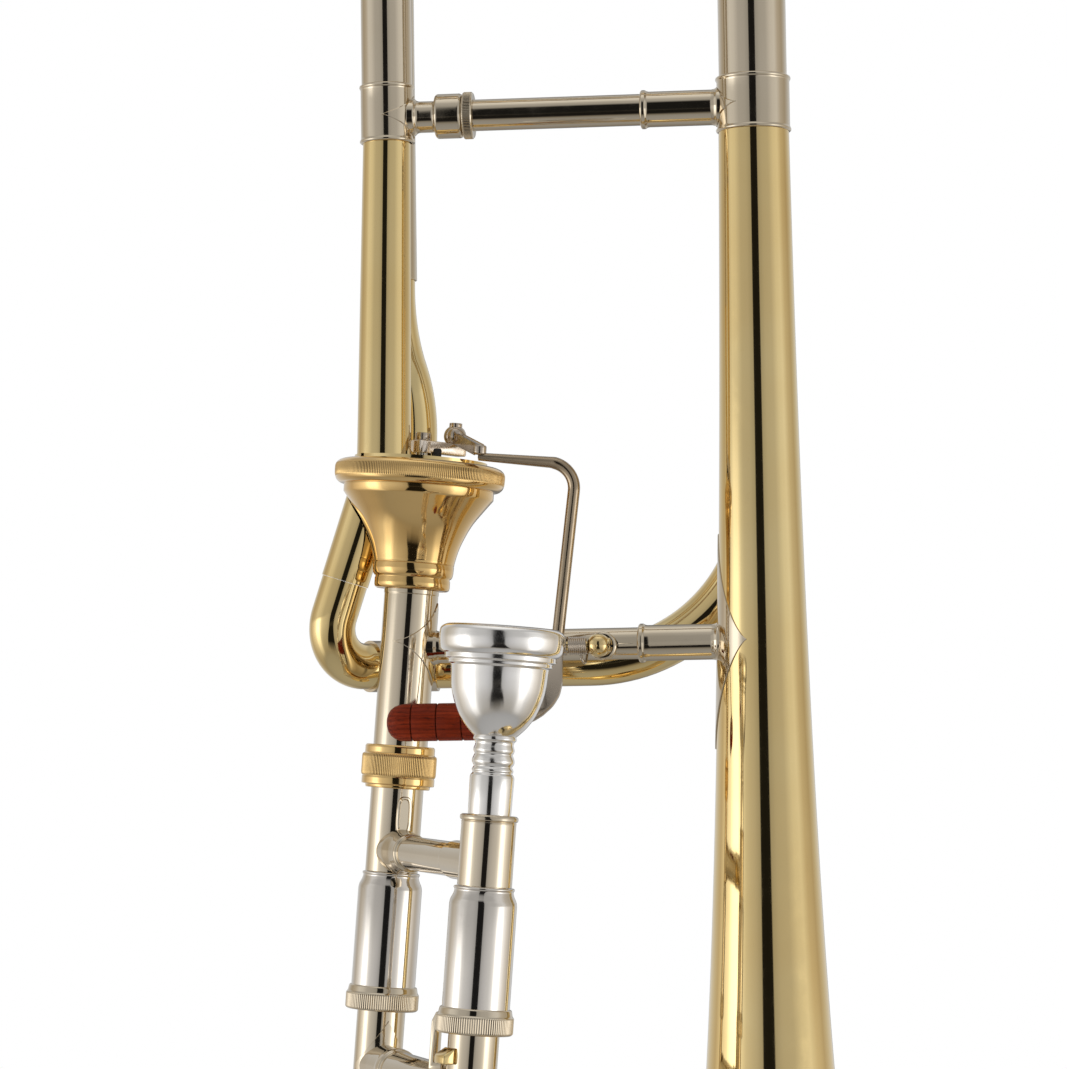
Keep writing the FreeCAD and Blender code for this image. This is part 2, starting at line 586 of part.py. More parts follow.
def thumb_lever():
    """Rod, hinge barrel, strap and wooden grip, with the spring and posts that carry them."""
    y, z = size("hinge_y"), size("hinge_z")
    left, right = size("barrel_left"), size("barrel_right")
    route = [Vector(-86.9, y, 446.7), Vector(-59.1, y, 443.9), Vector(-66.3, y, z + 1)]
    eye = eye_point()
    rod_eye = cylinder("{boss_radius}", 2.3, SLIDE.multiply(at(eye.x, eye.y, -0.7)))
    rod_neck = box(5, 3, 2.3, SLIDE.multiply(at(eye.x, eye.y - 1.5, -0.7)))
    keep("lever_rod", cut(fuse(swept(route, [size("rod_bend")], "{rod_radius}"), rod_eye, rod_neck),
                          cylinder("{lever_barrel_radius} + 0.02", 30, at(-80, y, z, NORTH, 90))))
    barrel = cylinder("{lever_barrel_radius}", right - left, at(left, y, z, NORTH, 90))
    pin_hole = cylinder("{pin_radius} + 0.06", 40, at(left - 5, y, z, NORTH, 90))
    lean = math.degrees(math.atan2(y - size("grip_y"), z - size("grip_z")))
    face = [(-72, 0), (-64.4, 0), (-64.2, -13), (-64.9, -17.5), (-67, -21.5), (-70.2, -24.7),
            (-73, -26.6), (-76, -27.8), ("{grip_right} + 0.1", -29),
            ("{grip_right} + 0.1", -23.8), (-76.4, -22.6), (-73.6, -20.8), (-72.2, -17.6), (-72, -13)]
    strap = padded(face, 2.2)
    strap.Placement = at(0, y, z, EAST, 90 - lean).multiply(at(0, 0, -1.1))
    keep("lever_strap", cut(fuse(barrel, strap), pin_hole))

    length = size("grip_right") - size("grip_left")
    groove = "{grip_radius} - 0.5"
    outline = [(0, 0), (0, length), ("{grip_radius}", length)]
    for ring in (24.8, 16.6, 8.4):
        outline += [("{grip_radius}", ring + 0.6), (groove, ring), ("{grip_radius}", ring - 0.6)]
    outline += [("{grip_radius}", 3.2), (4.6, 1.1), (2.4, 0.2)]
    place = at(size("grip_left"), size("grip_y"), size("grip_z"), NORTH, 90)
    keep("thumb_grip", turned(outline, place))

    screw = cylinder("{pin_radius}", size("screw_ball_x") - left + 3, at(left - 3, y, z, NORTH, 90))
    keep("hinge_screw", fuse(screw, ball("{screw_ball_radius}", at(size("screw_ball_x"), y, z))))
    spring_left = right + 0.3
    coil = tube("{lever_barrel_radius}", "{lever_barrel_radius} - 0.9",
                size("screw_ball_x") - 3.4 - spring_left)
    keep("lever_spring", coil, at(spring_left, y, z, NORTH, 90))

    left_post = cylinder(4.2, 3.2, at(left - 3.5, y, z, NORTH, 90))
    left_web = box(3.2, 10, 5, at(left - 3.5, y, z - 2))
    right_boss = cylinder(4.4, 7, at(size("screw_ball_x"), -5.1, z, EAST, -90))
    posts = fuse(left_post, left_web)
    neck = SLIDE.multVec(Vector(0, 0, lower_brace_level()))
    brace = cylinder("{brace_radius} + 0.02", 130)
    brace.Placement = along(neck, Vector(0, 0, size("lower_brace_height")))
    hole = cylinder("{pin_radius} + 0.02", 12, at(left - 6, y, z, NORTH, 90))
    keep("hinge_posts", group(cut(cut(posts, brace), hole), cut(right_boss, brace)))


def f_tubing():
    """Loop of the F attachment: knuckle, elbow, run round to its slide, return bend."""
    outer, inner = "{f_tube_radius}", "{f_tube_radius} - {f_tube_wall}"
    plane_y, run_z = size("f_plane_y"), size("f_run_z")
    joint = Vector(-139.7, 14, 408.6)
    down = Vector(-0.312, 0, -0.95).normalize()
    knuckle = cut(cylinder(outer + " + 0.3", 36), cylinder(inner, 36))
    knuckle.Placement = along(joint, joint - down * 36)
    envelope = turned([(0, 6), (30, 6), (30, -9.6), (25.2, -9.6), (25.2, -12.4), (22.6, -16),
                       (19.4, -20.4), (17.2, -24.2), (15.2, -28.9), (13.9, -35.4), (12.9, -46),
                       (0, -46)], SLIDE)
    keep("f_knuckle", cut(knuckle, envelope))
    corner = joint + down * ((joint.z - run_z) / -down.z)
    away = Vector(math.cos(math.radians(40)), math.sin(math.radians(40)), 0)
    turn = corner + away * ((plane_y - corner.y) / away.y)
    start = turn + EAST * 16
    elbow_radii = [size("f_elbow_radius"), 11]
    keep("f_lower_elbow", bent_tube([joint + down * 0.1, corner, turn, start], elbow_radii,
                                    outer, inner))
    back = turn - away * 5.0
    guard = bent_tube([back, turn, start + EAST * 3], [11], outer + " + 0.95", outer + " + 0.05")
    keep("f_elbow_sleeve", guard)
    bell_foot = Vector(size("f_bell_x"), plane_y, run_z)
    leg_top = Vector(size("f_bell_x"), plane_y, size("f_sleeve_bottom") + 20)
    keep("f_lower_run", bent_tube([start + EAST * 0.1, bell_foot, leg_top],
                                  [size("f_quarter_radius")], outer, inner))
    port = SLIDE.multVec(Vector(size("f_port_x"), size("f_port_y"), 0.02))
    rise = SLIDE.multVec(Vector(size("f_port_x"), size("f_port_y"), 18))
    neck_top = Vector(size("f_neck_x"), plane_y, size("f_sleeve_bottom") + 20)
    keep("f_port_bend", bent_tube([port, rise, neck_top - UP * 35, neck_top], [50, 60],
                                  outer, inner))


def lock_nut_and_neckpipe():
    end = "-{neckpipe_end}"
    pipe, bore = "{neckpipe_radius}", "{neckpipe_radius} - {neckpipe_wall}"
    keep("neckpipe", turned([(bore, end), (pipe, end), (pipe, "-{collar_depth} - 1.6"),
                             (pipe + " + 0.12", "-{collar_depth} - 1.5"),
                             (pipe + " + 0.12", "-{collar_depth} - 0.05"),
                             (pipe, "-{collar_depth} - 0.05"), (pipe, "-{collar_depth} + 4"),
                             (bore, "-{collar_depth} + 4")], SLIDE))
    nut, collar = "{lock_nut_radius}", "{lock_collar_radius}"
    bore = "{lock_nut_bore}"
    keep("lock_nut", turned([(bore, -109), (collar, -109), (collar, -107.2), (nut, -106.8),
                             (nut, -97.5), (collar, -97.1), (collar, -94.8), (bore, -94.8)], SLIDE))


def handslide_inner():
    """Tenon, cork barrels, grip brace, receiver and the two inner tubes."""
    barrel = "-{barrel_top}"
    length = "{barrel_top} - {neckpipe_end} - 0.1"
    stem = tube("{tenon_radius}", "{tenon_bore}", length, in_slide(0, 0, -size("barrel_top")))
    lug = padded(lug_outline(), "{tenon_radius} + 0.7")
    lug.Placement = in_slide(0, 0, -size("lug_depth"), UP, BRACE_TURN).multiply(
        Placement(Vector(), Rotation(Vector(1, 1, 1), 120)))
    core = cylinder("{tenon_radius} - 0.3", "{barrel_top} - {neckpipe_end} - 0.1",
                    in_slide(0, 0, -size("barrel_top")))
    keep("slide_tenon", fuse(stem, cut(lug, core)))
    barrels, felts = [], []
    for frame in (SLIDE, MOUTH):
        low, wide, hole = "-{barrel_bottom}", "{barrel_radius}", "{barrel_bore}"
        hem = "-{knurl_bottom} + 0.5"
        throat = "{inner_tube_radius} + 0.02"
        body = turned([(throat, barrel + " - 0.05"), (9.3, barrel + " - 0.05"),
                       (10, barrel + " - 1.2"), (wide, barrel + " - 4"), (wide, low),
                       (hole + " + 0.6", low), (hole + " + 0.6", hem),
                       (hole, hem), (hole, barrel + " - 5"), (throat, barrel + " - 3")],
                      frame)
        barrels.append(body)
        felts.append(tube("{barrel_bore} - 0.05", "{inner_tube_radius} + 0.05", 6,
                          frame.multiply(at(0, 0, -148))))
    keep("cork_barrels", group(*barrels))
    keep("barrel_felts", group(*felts))
    keep("barrel_knurled_ring", turned(knurled_outline(), SLIDE))
    tubes = [tube("{inner_tube_radius}", "{inner_tube_bore}", "{inner_tube_end} - 133",
                  frame.multiply(at(0, 0, -size("inner_tube_end")))) for frame in (SLIDE, MOUTH)]
    tubes[0] = tube("{inner_tube_radius}", "{inner_tube_bore}", "{inner_tube_end} - 136.6",
                    in_slide(0, 0, -size("inner_tube_end")))
    keep("inner_slide_tubes", group(*tubes))

    wide, top, low = "{receiver_radius}", "-{receiver_top}", -136.4
    keep("mouthpiece_receiver", turned([("{inner_tube_radius} + 0.03", low), (wide, low),
                                        (wide, top + " - 2.2"), (wide + " + 0.6", top + " - 1.8"),
                                        (wide + " + 0.6", top + " - 0.4"), (wide, top),
                                        (6.9, top), (6.4, -132.9),
                                        ("{inner_tube_radius} + 0.03", -132.95)], MOUTH))
    depth = size("grip_brace_depth")
    place = in_slide(0, 0, -depth, UP, BRACE_TURN).multiply(Placement(Vector(), Rotation(NORTH, 90)))
    grip = cylinder("{grip_brace_radius}", SPACING, place)
    pins = [cylinder("{tenon_radius} + 0.02", 40, in_slide(0, 0, -depth - 20)),
            cylinder("{receiver_radius} + 0.02", 40, MOUTH.multiply(at(0, 0, -depth - 20)))]
    ring_place = place.multiply(at(0, 0, 18))
    ring = cylinder("{grip_brace_radius} + 0.9", 2.4, ring_place)
    saddle_neck = saddle("{tenon_radius}", 3, 6.5, in_slide(0, 0, -depth, UP, BRACE_TURN))
    keep("grip_brace", fuse(cut(cut(fuse(grip, ring), pins[0]), pins[1]), saddle_neck))


def lug_outline():
    """Long eight-sided outline of the lug beside the brace, (across, along)."""
    half, tall, corner = "{lug_half_width}", "{lug_half_height}", 1.6
    return [(half, "%s - %s" % (tall, corner)), ("%s - %s" % (half, corner), tall),
            ("%s - %s" % (corner, half), tall), ("-" + half, "%s - %s" % (tall, corner)),
            ("-" + half, "%s - %s" % (corner, tall)), ("%s - %s" % (corner, half), "-" + tall),
            ("%s - %s" % (half, corner), "-" + tall), (half, "%s - %s" % (corner, tall))]


def knurled_outline():
    bore, rim, low = "{barrel_bore} + 0.7", "{knurl_radius}", "-{knurl_bottom}"
    shoulder = "-{barrel_bottom}"
    wide = "{barrel_radius} + 0.1"
    return [(bore, low), (rim + " - 0.7", low), (rim, low + " + 0.7"), (rim, shoulder + " - 0.5"),
            ("{barrel_radius} + 0.8", shoulder + " + 2.2"), (wide, shoulder + " + 2.2"),
            (wide, shoulder + " - 0.1"), (bore, shoulder + " - 0.1")]


def slide_lock():
    """Knurled lock ring on the mouthpiece side with its arm, and the catch it closes on."""
    ring = turned(knurled_outline(), MOUTH)
    low = -size("knurl_bottom") - 12.2
    place = MOUTH.multiply(at(0, 0, 0, UP, size("lock_arm_angle")))
    arm = box(1.8, 4.4, 18, place.multiply(at(size("knurl_radius") + 0.2, -2.2, low)))
    bridge = box(2.6, 4.4, 5, place.multiply(at(size("knurl_radius") - 1, -2.2, low + 13)))
    toe = box(3.6, 4.4, 2.4, place.multiply(at(size("knurl_radius") - 2.6, -2.2, low)))
    keep("slide_lock_ring", fuse(ring, arm, bridge, toe))
    place = MOUTH.multiply(at(0, 0, 0, UP, size("lock_catch_angle")))
    wedge = padded([(7, 0), ("{catch_reach}", 0), ("{catch_reach}", 2.6), (7, 5.4)], 6.4)
    wedge.Placement = place.multiply(at(0, 3.2, low + 2.7)).multiply(
        Placement(Vector(), Rotation(EAST, 90)))
    core = cylinder("{outer_tube_radius} + 0.02", 20, MOUTH.multiply(at(0, 0, low - 4)))
    keep("lock_catch", cut(wedge, core))


def handslide_outer():
    """Two long tubes, their brace, the bow at the foot with its ferrules and bumper."""
    deep, top = size("bow_centre_depth"), size("outer_tube_top")
    frames = (SLIDE, MOUTH)
    length = "{bow_centre_depth} - {outer_tube_top} - 0.1"
    tubes = [tube("{outer_tube_radius}", "{outer_tube_bore}", length,
                  frame.multiply(at(0, 0, -deep + 0.1))) for frame in frames]
    keep("outer_slide_tubes", group(*tubes))
    depth = size("outer_brace_depth")
    heading = in_slide(0, 0, -depth, UP, BRACE_TURN)
    place = heading.multiply(Placement(Vector(), Rotation(NORTH, 90)))
    bar = cylinder("{outer_brace_radius}", SPACING, place)
    rings = [cylinder("{outer_brace_radius} + 0.8", 2.2, place.multiply(at(0, 0, along_bar)))
             for along_bar in (19, SPACING - 21)]
    cores = [cylinder("{outer_tube_radius} + 0.02", 60, frame.multiply(at(0, 0, -depth - 30)))
             for frame in frames]
    back = MOUTH.multiply(at(0, 0, -depth, UP, BRACE_TURN + 180))
    flanges = [saddle("{outer_tube_radius}", 0, 15, heading),
               saddle("{outer_tube_radius}", 0, 15, back)]
    keep("outer_brace", fuse(cut(cut(fuse(bar, *rings), cores[0]), cores[1]), *flanges))

    turn = Placement(Vector(), Rotation(EAST, -90))
    middle = in_slide(size("mouth_x") / 2, size("mouth_y") / 2, -deep, UP, BRACE_TURN)
    foot = bow(SPACING / 2, "{outer_tube_radius} + 0.2", "{outer_tube_bore}", 180)
    keep("slide_bow", foot, middle.multiply(turn))
    ferrules = []
    for frame in frames:
        ring = turned([("{outer_tube_radius} + 0.02", 0.3), (9.1, 0.3), (9.5, 1.2), (9.1, 2),
                       (8.9, 13), (9.3, 14), (8.9, 15), ("{outer_tube_radius} + 0.02", 15)],
                      frame.multiply(at(0, 0, -deep)))
        ferrules.append(ring)
    keep("slide_bow_ferrules", group(*ferrules))
    base = middle.multiply(at(0, 0, -SPACING / 2))
    pad = cylinder(4.6, 12, base.multiply(at(0, 0, -17)))
    core = bow(SPACING / 2, "{outer_tube_radius} + 0.25", 0.5, 180)
    core.Placement = middle.multiply(turn)
    keep("slide_bumper", cut(pad, core))
    return middle, base


def water_key(middle, base):
    """Sprung key over the drain nipple at the bottom of the slide bow."""
    offset, lift = size("key_offset"), size("outer_tube_radius")
    rise = math.degrees(math.asin(offset / (SPACING / 2)))
    lowest = SPACING / 2 * (1 - math.cos(math.radians(rise)))
    frame = base.multiply(at(offset, 0, lowest, NORTH, -rise))
    frame = frame.multiply(Placement(Vector(), Rotation(EAST, 90)))
    foot = frame.multiply(at(0, 0, lift - 1.6))
    nipple = tube("{nipple_radius}", "{nipple_bore}", "{nipple_length}", foot)
    core = bow(SPACING / 2, "{outer_tube_radius} + 0.25", 0.5, 180)
    core.Placement = middle.multiply(Placement(Vector(), Rotation(EAST, -90)))
    keep("water_key_nipple", cut(nipple, core))
    keep("water_key_cork", cylinder("{key_cork_radius}", 2.4, frame.multiply(at(0, 0, lift + 2.45))))

    width = size("key_width")
    blade_place = frame.multiply(at(-3, -width / 2, lift + 4.9))
    blade = box("{key_arm}", "{key_width}", "{key_thick}", blade_place)
    dish = cylinder("{key_dish_radius}", "{key_thick}", frame.multiply(at(0, 0, lift + 4.9)))
    pivot = frame.multiply(at(size("key_pivot_reach"), 0, lift + 3.3))

    def pin(radius, length):
        return cylinder(radius, length, pivot.multiply(at(0, length / 2, 0, EAST, 90)))

    hole = pin("{key_pin_radius} + 0.05", 12)
    keep("water_key_lever", cut(fuse(blade, dish, pin(2.1, 7)), hole))
    ears = [box(4, 1.4, 9, pivot.multiply(at(-2, side, -7.2))) for side in (-5.3, 3.9)]
    bridge = box(4, 10.6, 3, pivot.multiply(at(-2, -5.3, -7.2)))
    yoke = cut(cut(fuse(*ears, bridge), core), pin("{key_pin_radius} + 0.01", 14))
    keep("water_key_post", group(yoke, pin("{key_pin_radius}", 11)))


def mouthpiece():
    """Cup with its rim, throat and tapered shank, hollow right through."""
    outline = [(19.45, -58.5), (19.45, -61.5), (18.6, -64.3), (17.3, -65.2), (17.3, -66.4),
               (16.2, -67), (16.2, -68), (15.2, -68.6), (15.0, -72), (14.6, -76), (13.6, -79.5),
               (11.5, -84.5), (8.4, -88.5), (6.2, -90.2), (6.5, -91), (6.5, -91.5), (6, -92),
               (6.4, -94.3), (6, -95.4), (6.3, -96.5), (6, -97.8), (6.5, -99.3), (6.1, -100.4),
               (6.6, -101.5), (6.9, -102.5), (6.75, -112), (6.2, -131.5), (5.2, -131.5),
               (3.4, -104), (3.4, -96), (5, -89), (9.5, -82), (12, -74), (12.7, -66),
               (12.9, -61), (14.2, -57.2), (16.2, -56), (18, -56.4)]
    keep("mouthpiece", turned(outline, MOUTH))


bell()
gooseneck()
fit = " - {leg_wall} - {running_gap}"
tuning_slide("main_slide", (size("neck_leg_x"), 0), 0,
             ("{neck_sleeve_radius}" + fit, "{bell_sleeve_radius}" + fit), "legs_bottom", "bow_base")
tuning_slide("f_slide", (size("f_neck_x"), size("f_bell_x")), size("f_plane_y"),
             ("{f_sleeve_radius}" + fit, "{f_sleeve_radius}" + fit), "f_legs_bottom", "f_bow_base")
bell_braces()
valve()
stop_arm()
thumb_lever()
f_tubing()
lock_nut_and_neckpipe()
handslide_inner()
slide_lock()
bow_middle, bow_base = handslide_outer()
water_key(bow_middle, bow_base)
mouthpiece()

doc.recompute()
faults = [thing.Name for thing in doc.Objects
          if "Invalid" in thing.State or "Error" in thing.State]
for label, thing in nodes.items():
    shape = thing.Shape
    if shape.isNull() or not shape.isValid() or not shape.Solids:
        faults.append(label)
if faults:
    raise SystemExit("failed objects: " + ", ".join(faults))
os.makedirs("parts", exist_ok=True)
for label, thing in nodes.items():
    thing.Shape.exportStep("parts/%s.step" % label)
print(len(nodes), "sub-parts written")
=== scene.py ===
"""Looks of the tenor trombone with F attachment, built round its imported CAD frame.

Outlines are in millimetres, as (radius, height) pairs about the axis of their own frame;
SLIDE is the shared axis of the valve, neckpipe and neck side of the handslide, and MOUTH
the parallel axis of the mouthpiece side. Everything in the scene itself is in metres.
"""
import json
from math import asin, atan2, copysign, cos, degrees, hypot, pi, radians, sin, sqrt, tan

import bmesh
import bpy
from mathutils import Matrix, Vector


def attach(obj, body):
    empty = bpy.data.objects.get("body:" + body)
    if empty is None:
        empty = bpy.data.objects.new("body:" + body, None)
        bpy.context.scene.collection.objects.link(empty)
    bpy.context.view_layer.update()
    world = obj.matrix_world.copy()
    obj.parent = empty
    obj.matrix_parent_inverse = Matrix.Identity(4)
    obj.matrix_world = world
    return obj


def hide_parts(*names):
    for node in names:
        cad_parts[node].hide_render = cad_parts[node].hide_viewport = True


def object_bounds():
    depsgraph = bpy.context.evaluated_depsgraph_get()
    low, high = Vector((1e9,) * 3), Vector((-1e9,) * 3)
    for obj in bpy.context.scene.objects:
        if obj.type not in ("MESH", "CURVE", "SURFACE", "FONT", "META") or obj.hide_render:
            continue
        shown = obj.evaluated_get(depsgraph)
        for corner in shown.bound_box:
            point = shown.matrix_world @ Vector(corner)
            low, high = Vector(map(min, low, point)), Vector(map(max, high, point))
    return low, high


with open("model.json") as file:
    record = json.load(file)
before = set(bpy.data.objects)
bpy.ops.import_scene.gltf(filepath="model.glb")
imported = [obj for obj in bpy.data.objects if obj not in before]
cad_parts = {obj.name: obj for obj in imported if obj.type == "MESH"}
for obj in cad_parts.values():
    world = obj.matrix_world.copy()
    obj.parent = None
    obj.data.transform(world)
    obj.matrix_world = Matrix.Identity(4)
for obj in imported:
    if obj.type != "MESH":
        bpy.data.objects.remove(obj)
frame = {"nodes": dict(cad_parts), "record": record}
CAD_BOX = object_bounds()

MM = 0.001
NODES = frame["nodes"]
BODY_OF = {node: body for body, members in frame["record"]["behaviour"]["bodies"].items()
           for node in members}
SLOT_OF = {node: thing.material_slots[0].material.name for node, thing in NODES.items()}


def move(x=0.0, y=0.0, z=0.0):
    """Shift by millimetres."""
    return Matrix.Translation((x * MM, y * MM, z * MM))


def turn(angle, axis):
    """Turn by degrees."""
    return Matrix.Rotation(radians(angle), 4, axis)


VALVE_LEVEL, SLIDE_LEAN = 448, 4.85
SLIDE = move(-112.6, 7, VALVE_LEVEL) @ turn(SLIDE_LEAN, "Y")
MOUTH_X, MOUTH_Y = 41, -78.4
MOUTH = SLIDE @ move(MOUTH_X, MOUTH_Y)
SPACING = hypot(MOUTH_X, MOUTH_Y)
ACROSS = degrees(atan2(MOUTH_Y, MOUTH_X))
BOW_LEVEL = -839
BOW = SLIDE @ move(MOUTH_X / 2, MOUTH_Y / 2, BOW_LEVEL) @ turn(ACROSS, "Z")
LEG_SPACING = 121.5
NECK_LEG = move(-LEG_SPACING)
BELL_AXIS = Matrix.Identity(4)
NECKPIPE_RADIUS, TENON_RADIUS, RECEIVER_RADIUS, OUTER_TUBE_RADIUS = 8.95, 8.65, 8.5, 7.9
OUTER_BRACE_DEPTH = 200


# ---- Shapes ----

CORE = 0.01  # radius at which a solid turned part closes round its axis
SEAM = 0.02  # gap left where one piece is fitted to another
STRAIGHT = 2.95  # corners opener than this angle, in radians, aren't rounded
TOOTH = (0, 0.2, 1, 0.2)  # share of the groove's depth at four points of a knurl tooth


def skin(bm, rings, closed):
    """Quads between rings of equal length; closed joins the last ring to the first."""
    count = len(rings[0])
    pairs = list(zip(rings, rings[1:])) + ([(rings[-1], rings[0])] if closed else [])
    for one, other in pairs:
        for k in range(count):
            after = (k + 1) % count
            bm.faces.new((one[k], one[after], other[after], other[k]))


def capped(bm, rings):
    """Open skin of rings closed by a face at either end."""
    skin(bm, rings, False)
    bm.faces.new(rings[0])
    bm.faces.new(rings[-1])


def lathe(bm, outline, place, segments=112, knurl=None):
    """Outline spun about +Z. knurl is (teeth, lowest, highest, depth) of a grooved band."""
    groove = bm.verts.layers.float.get("groove") or bm.verts.layers.float.new("groove")
    teeth, low, high, depth = knurl or (0, 0, 0, 0)
    segments = teeth * 4 or segments
    rings = []
    for radius, height in outline:
        banded = teeth and low <= height <= high
        ring = []
        for k in range(segments):
            share = TOOTH[k % 4] if banded else 0
            reach = (radius - depth * share) * MM
            angle = 2 * pi * k / segments
            spot = Vector((reach * cos(angle), reach * sin(angle), height * MM))
            vertex = bm.verts.new(place @ spot)
            # The groove share is kept for the finishes, which darken knurl grooves with patina
            # and painted shade.
            vertex[groove] = share
            ring.append(vertex)
        rings.append(ring)
    skin(bm, rings, True)


def soften(outline, reach, steps=3, closed=True):
    """The outline with each sharp corner rounded over the given reach.

    A point just beyond each rounded corner keeps the flats beside it shading flat.
    """
    result = []
    count = len(outline)
    for i, corner in enumerate(outline):
        here = Vector(corner)
        before, after = Vector(outline[i - 1]) - here, Vector(outline[(i + 1) % count]) - here
        held = not closed and i in (0, count - 1)
        if held or min(before.length, after.length) < 1e-6 or before.angle(after) > STRAIGHT:
            result.append(corner)
            continue

        def towards(side, distance, share):
            return here + side.normalized() * min(distance, side.length * share)

        first, last = towards(before, reach, 0.42), towards(after, reach, 0.42)
        curve = [first * (1 - t) ** 2 + here * 2 * t * (1 - t) + last * t ** 2
                 for t in (step / steps for step in range(steps + 1))]
        result += [tuple(spot) for spot in (towards(before, reach * 1.5, 0.48), *curve,
                                            towards(after, reach * 1.5, 0.48))]
    return result


def flowing(points, steps=6):
    """Smooth line through the points."""
    spots = [Vector(p) for p in points]
    spots = [2 * spots[0] - spots[1]] + spots + [2 * spots[-1] - spots[-2]]
    result = []
    for a, b, c, d in zip(spots, spots[1:], spots[2:], spots[3:]):
        for step in range(steps):
            t = step / steps
            result.append(0.5 * (2 * b + (c - a) * t + (2 * a - 5 * b + 4 * c - d) * t ** 2
                                 + (3 * b - a - 3 * c + d) * t ** 3))
    result.append(spots[-2])
    return [tuple(p) for p in result]


def mirrored(outline, length):
    """Outline run on by its own reflection, up to the given length."""
    return outline + [(radius, length - height) for radius, height in outline[::-1]]


def pipe_outline(outer, bore, low, high, reach=0.2):
    """Plain tube, or a pin where the bore is CORE."""
    return soften([(bore, low), (outer, low), (outer, high), (bore, high)], reach)


def ferrule_outline(outer, low_bore, high_bore, low, step, high):
    """Ring over a tube joint with a fine bead near each end."""
    outline = [(low_bore, low), (outer - 0.2, low), (outer + 0.35, low + 0.3),
               (outer + 0.45, low + 0.8), (outer + 0.05, low + 1.5), (outer, low + 2.0),
               (outer, high - 2.0), (outer + 0.05, high - 1.5), (outer + 0.45, high - 0.9),
               (outer + 0.35, high - 0.3), (outer - 0.2, high), (high_bore, high),
               (high_bore, step), (low_bore, step)]
    return soften(outline, 0.25)


def squared(value, power):
    """Sine or cosine pushed outwards, so that a circle turns into a rounded square."""
    return copysign(abs(value) ** power, value)


def bent_line(start, corner, end, radius):
    """Two straight runs joined by a tangent arc, in steps of about 5 degrees."""
    before, after = (start - corner).normalized(), (end - corner).normalized()
    half = before.angle(after) / 2
    reach = radius / tan(half)
    centre = corner + (before + after).normalized() * radius / sin(half)
    first, last = corner + before * reach - centre, corner + after * reach - centre
    sweep = pi - 2 * half
    steps = max(3, round(degrees(sweep) / 5))
    line = [start]
    for step in range(steps + 1):
        t = step / steps
        one, other = sin((1 - t) * sweep), sin(t * sweep)
        line.append(centre + (first * one + last * other) / sin(sweep))
    return line + [end]


def sections(bm, line, radii, place, segments):
    """One ring of vertices round each point of a line, carried along without twist."""
    rings, side = [], None
    for i, spot in enumerate(line):
        ahead = line[min(i + 1, len(line) - 1)] - line[max(i - 1, 0)]
        ahead.normalize()
        if side is None:
            side = ahead.orthogonal()
        side = (side - ahead * side.dot(ahead)).normalized()
        other = ahead.cross(side)
        ring = []
        for k in range(segments):
            angle = 2 * pi * k / segments
            out = side * cos(angle) + other * sin(angle)
            ring.append(bm.verts.new(place @ ((spot + out * radii[i]) * MM)))
        rings.append(ring)
    return rings


def bar(bm, line, radii, segments):
    """Solid round bar along a line, its ends domed a little."""
    start, end = (line[0] - line[1]).normalized(), (line[-1] - line[-2]).normalized()
    rounded = [line[0] + start * radii[0] * 0.25, line[0] + start * radii[0] * 0.2]
    rounded += list(line)
    rounded += [line[-1] + end * radii[-1] * 0.2, line[-1] + end * radii[-1] * 0.25]
    widths = [radii[0] * 0.05, radii[0] * 0.7] + radii + [radii[-1] * 0.7, radii[-1] * 0.05]
    capped(bm, sections(bm, rounded, widths, Matrix.Identity(4), segments))


def hollow_bar(bm, line, outer, bore, place, segments):
    """Tube along a line, open right through."""
    outside = sections(bm, line, [outer] * len(line), place, segments)
    inside = sections(bm, line, [bore] * len(line), place, segments)
    skin(bm, outside + inside[::-1], True)


def slab(bm, outline, thickness, place, reach):
    """Plate from z 0 up to its thickness, with softened edges all round."""
    levels = [(0.0, reach), (reach * 0.3, reach * 0.3), (reach, 0.0), (thickness - reach, 0.0),
              (thickness - reach * 0.3, reach * 0.3), (thickness, reach)]
    rings = []
    count = len(outline)
    for height, inset in levels:
        ring = []
        for i, (x, y) in enumerate(outline):
            here = Vector((x, y))
            before, after = Vector(outline[i - 1]) - here, Vector(outline[(i + 1) % count]) - here
            normal = Vector((after.y, -after.x)).normalized()
            normal += Vector((-before.y, before.x)).normalized()
            if normal.length > 1e-6:
                normal = normal.normalized() * inset
            ring.append(bm.verts.new(place @ (Vector((x - normal.x, y - normal.y, height)) * MM)))
        rings.append(ring)
    capped(bm, rings)


def ball_outline(radius, low, high, steps):
    """Arc of a ball between two latitudes in degrees."""
    spots = [radians(low + (high - low) * i / steps) for i in range(steps + 1)]
    return [(max(radius * cos(a), 1e-4), radius * sin(a)) for a in spots]


def flange(bm, radius_at, reach_angle, height, place, bend=1.3):
    """Diamond flange lying on a tube, its crisp edges drawn in slightly, centred on +X."""
    across, tall, edge, thick = 48, 10, 0.22, 0.4
    outer, inner = [], []
    for i in range(across + 1):
        share = 2 * i / across - 1
        angle = radians(reach_angle) * share
        half = height * (1 - abs(share)) ** bend + 0.12
        inset = min(edge, half * 0.4)
        levels = [-half] + [(half - inset) * (2 * j / tall - 1) for j in range(tall + 1)] + [half]
        top, under = [], []
        for z in levels:
            rim = abs(z) == half or abs(share) == 1
            for ring, lift in ((top, thick * (0.45 if rim else 1)), (under, SEAM)):
                r = radius_at(z) + lift
                ring.append(bm.verts.new(place @ (Vector(
                    (r * cos(angle), r * sin(angle), z)) * MM)))
        outer.append(top)
        inner.append(under)
    rings = [top + under[::-1] for top, under in zip(outer, inner)]
    skin(bm, rings, False)
    for end in (0, -1):
        for j in range(len(outer[0]) - 1):
            bm.faces.new((outer[end][j], outer[end][j + 1], inner[end][j + 1], inner[end][j]))


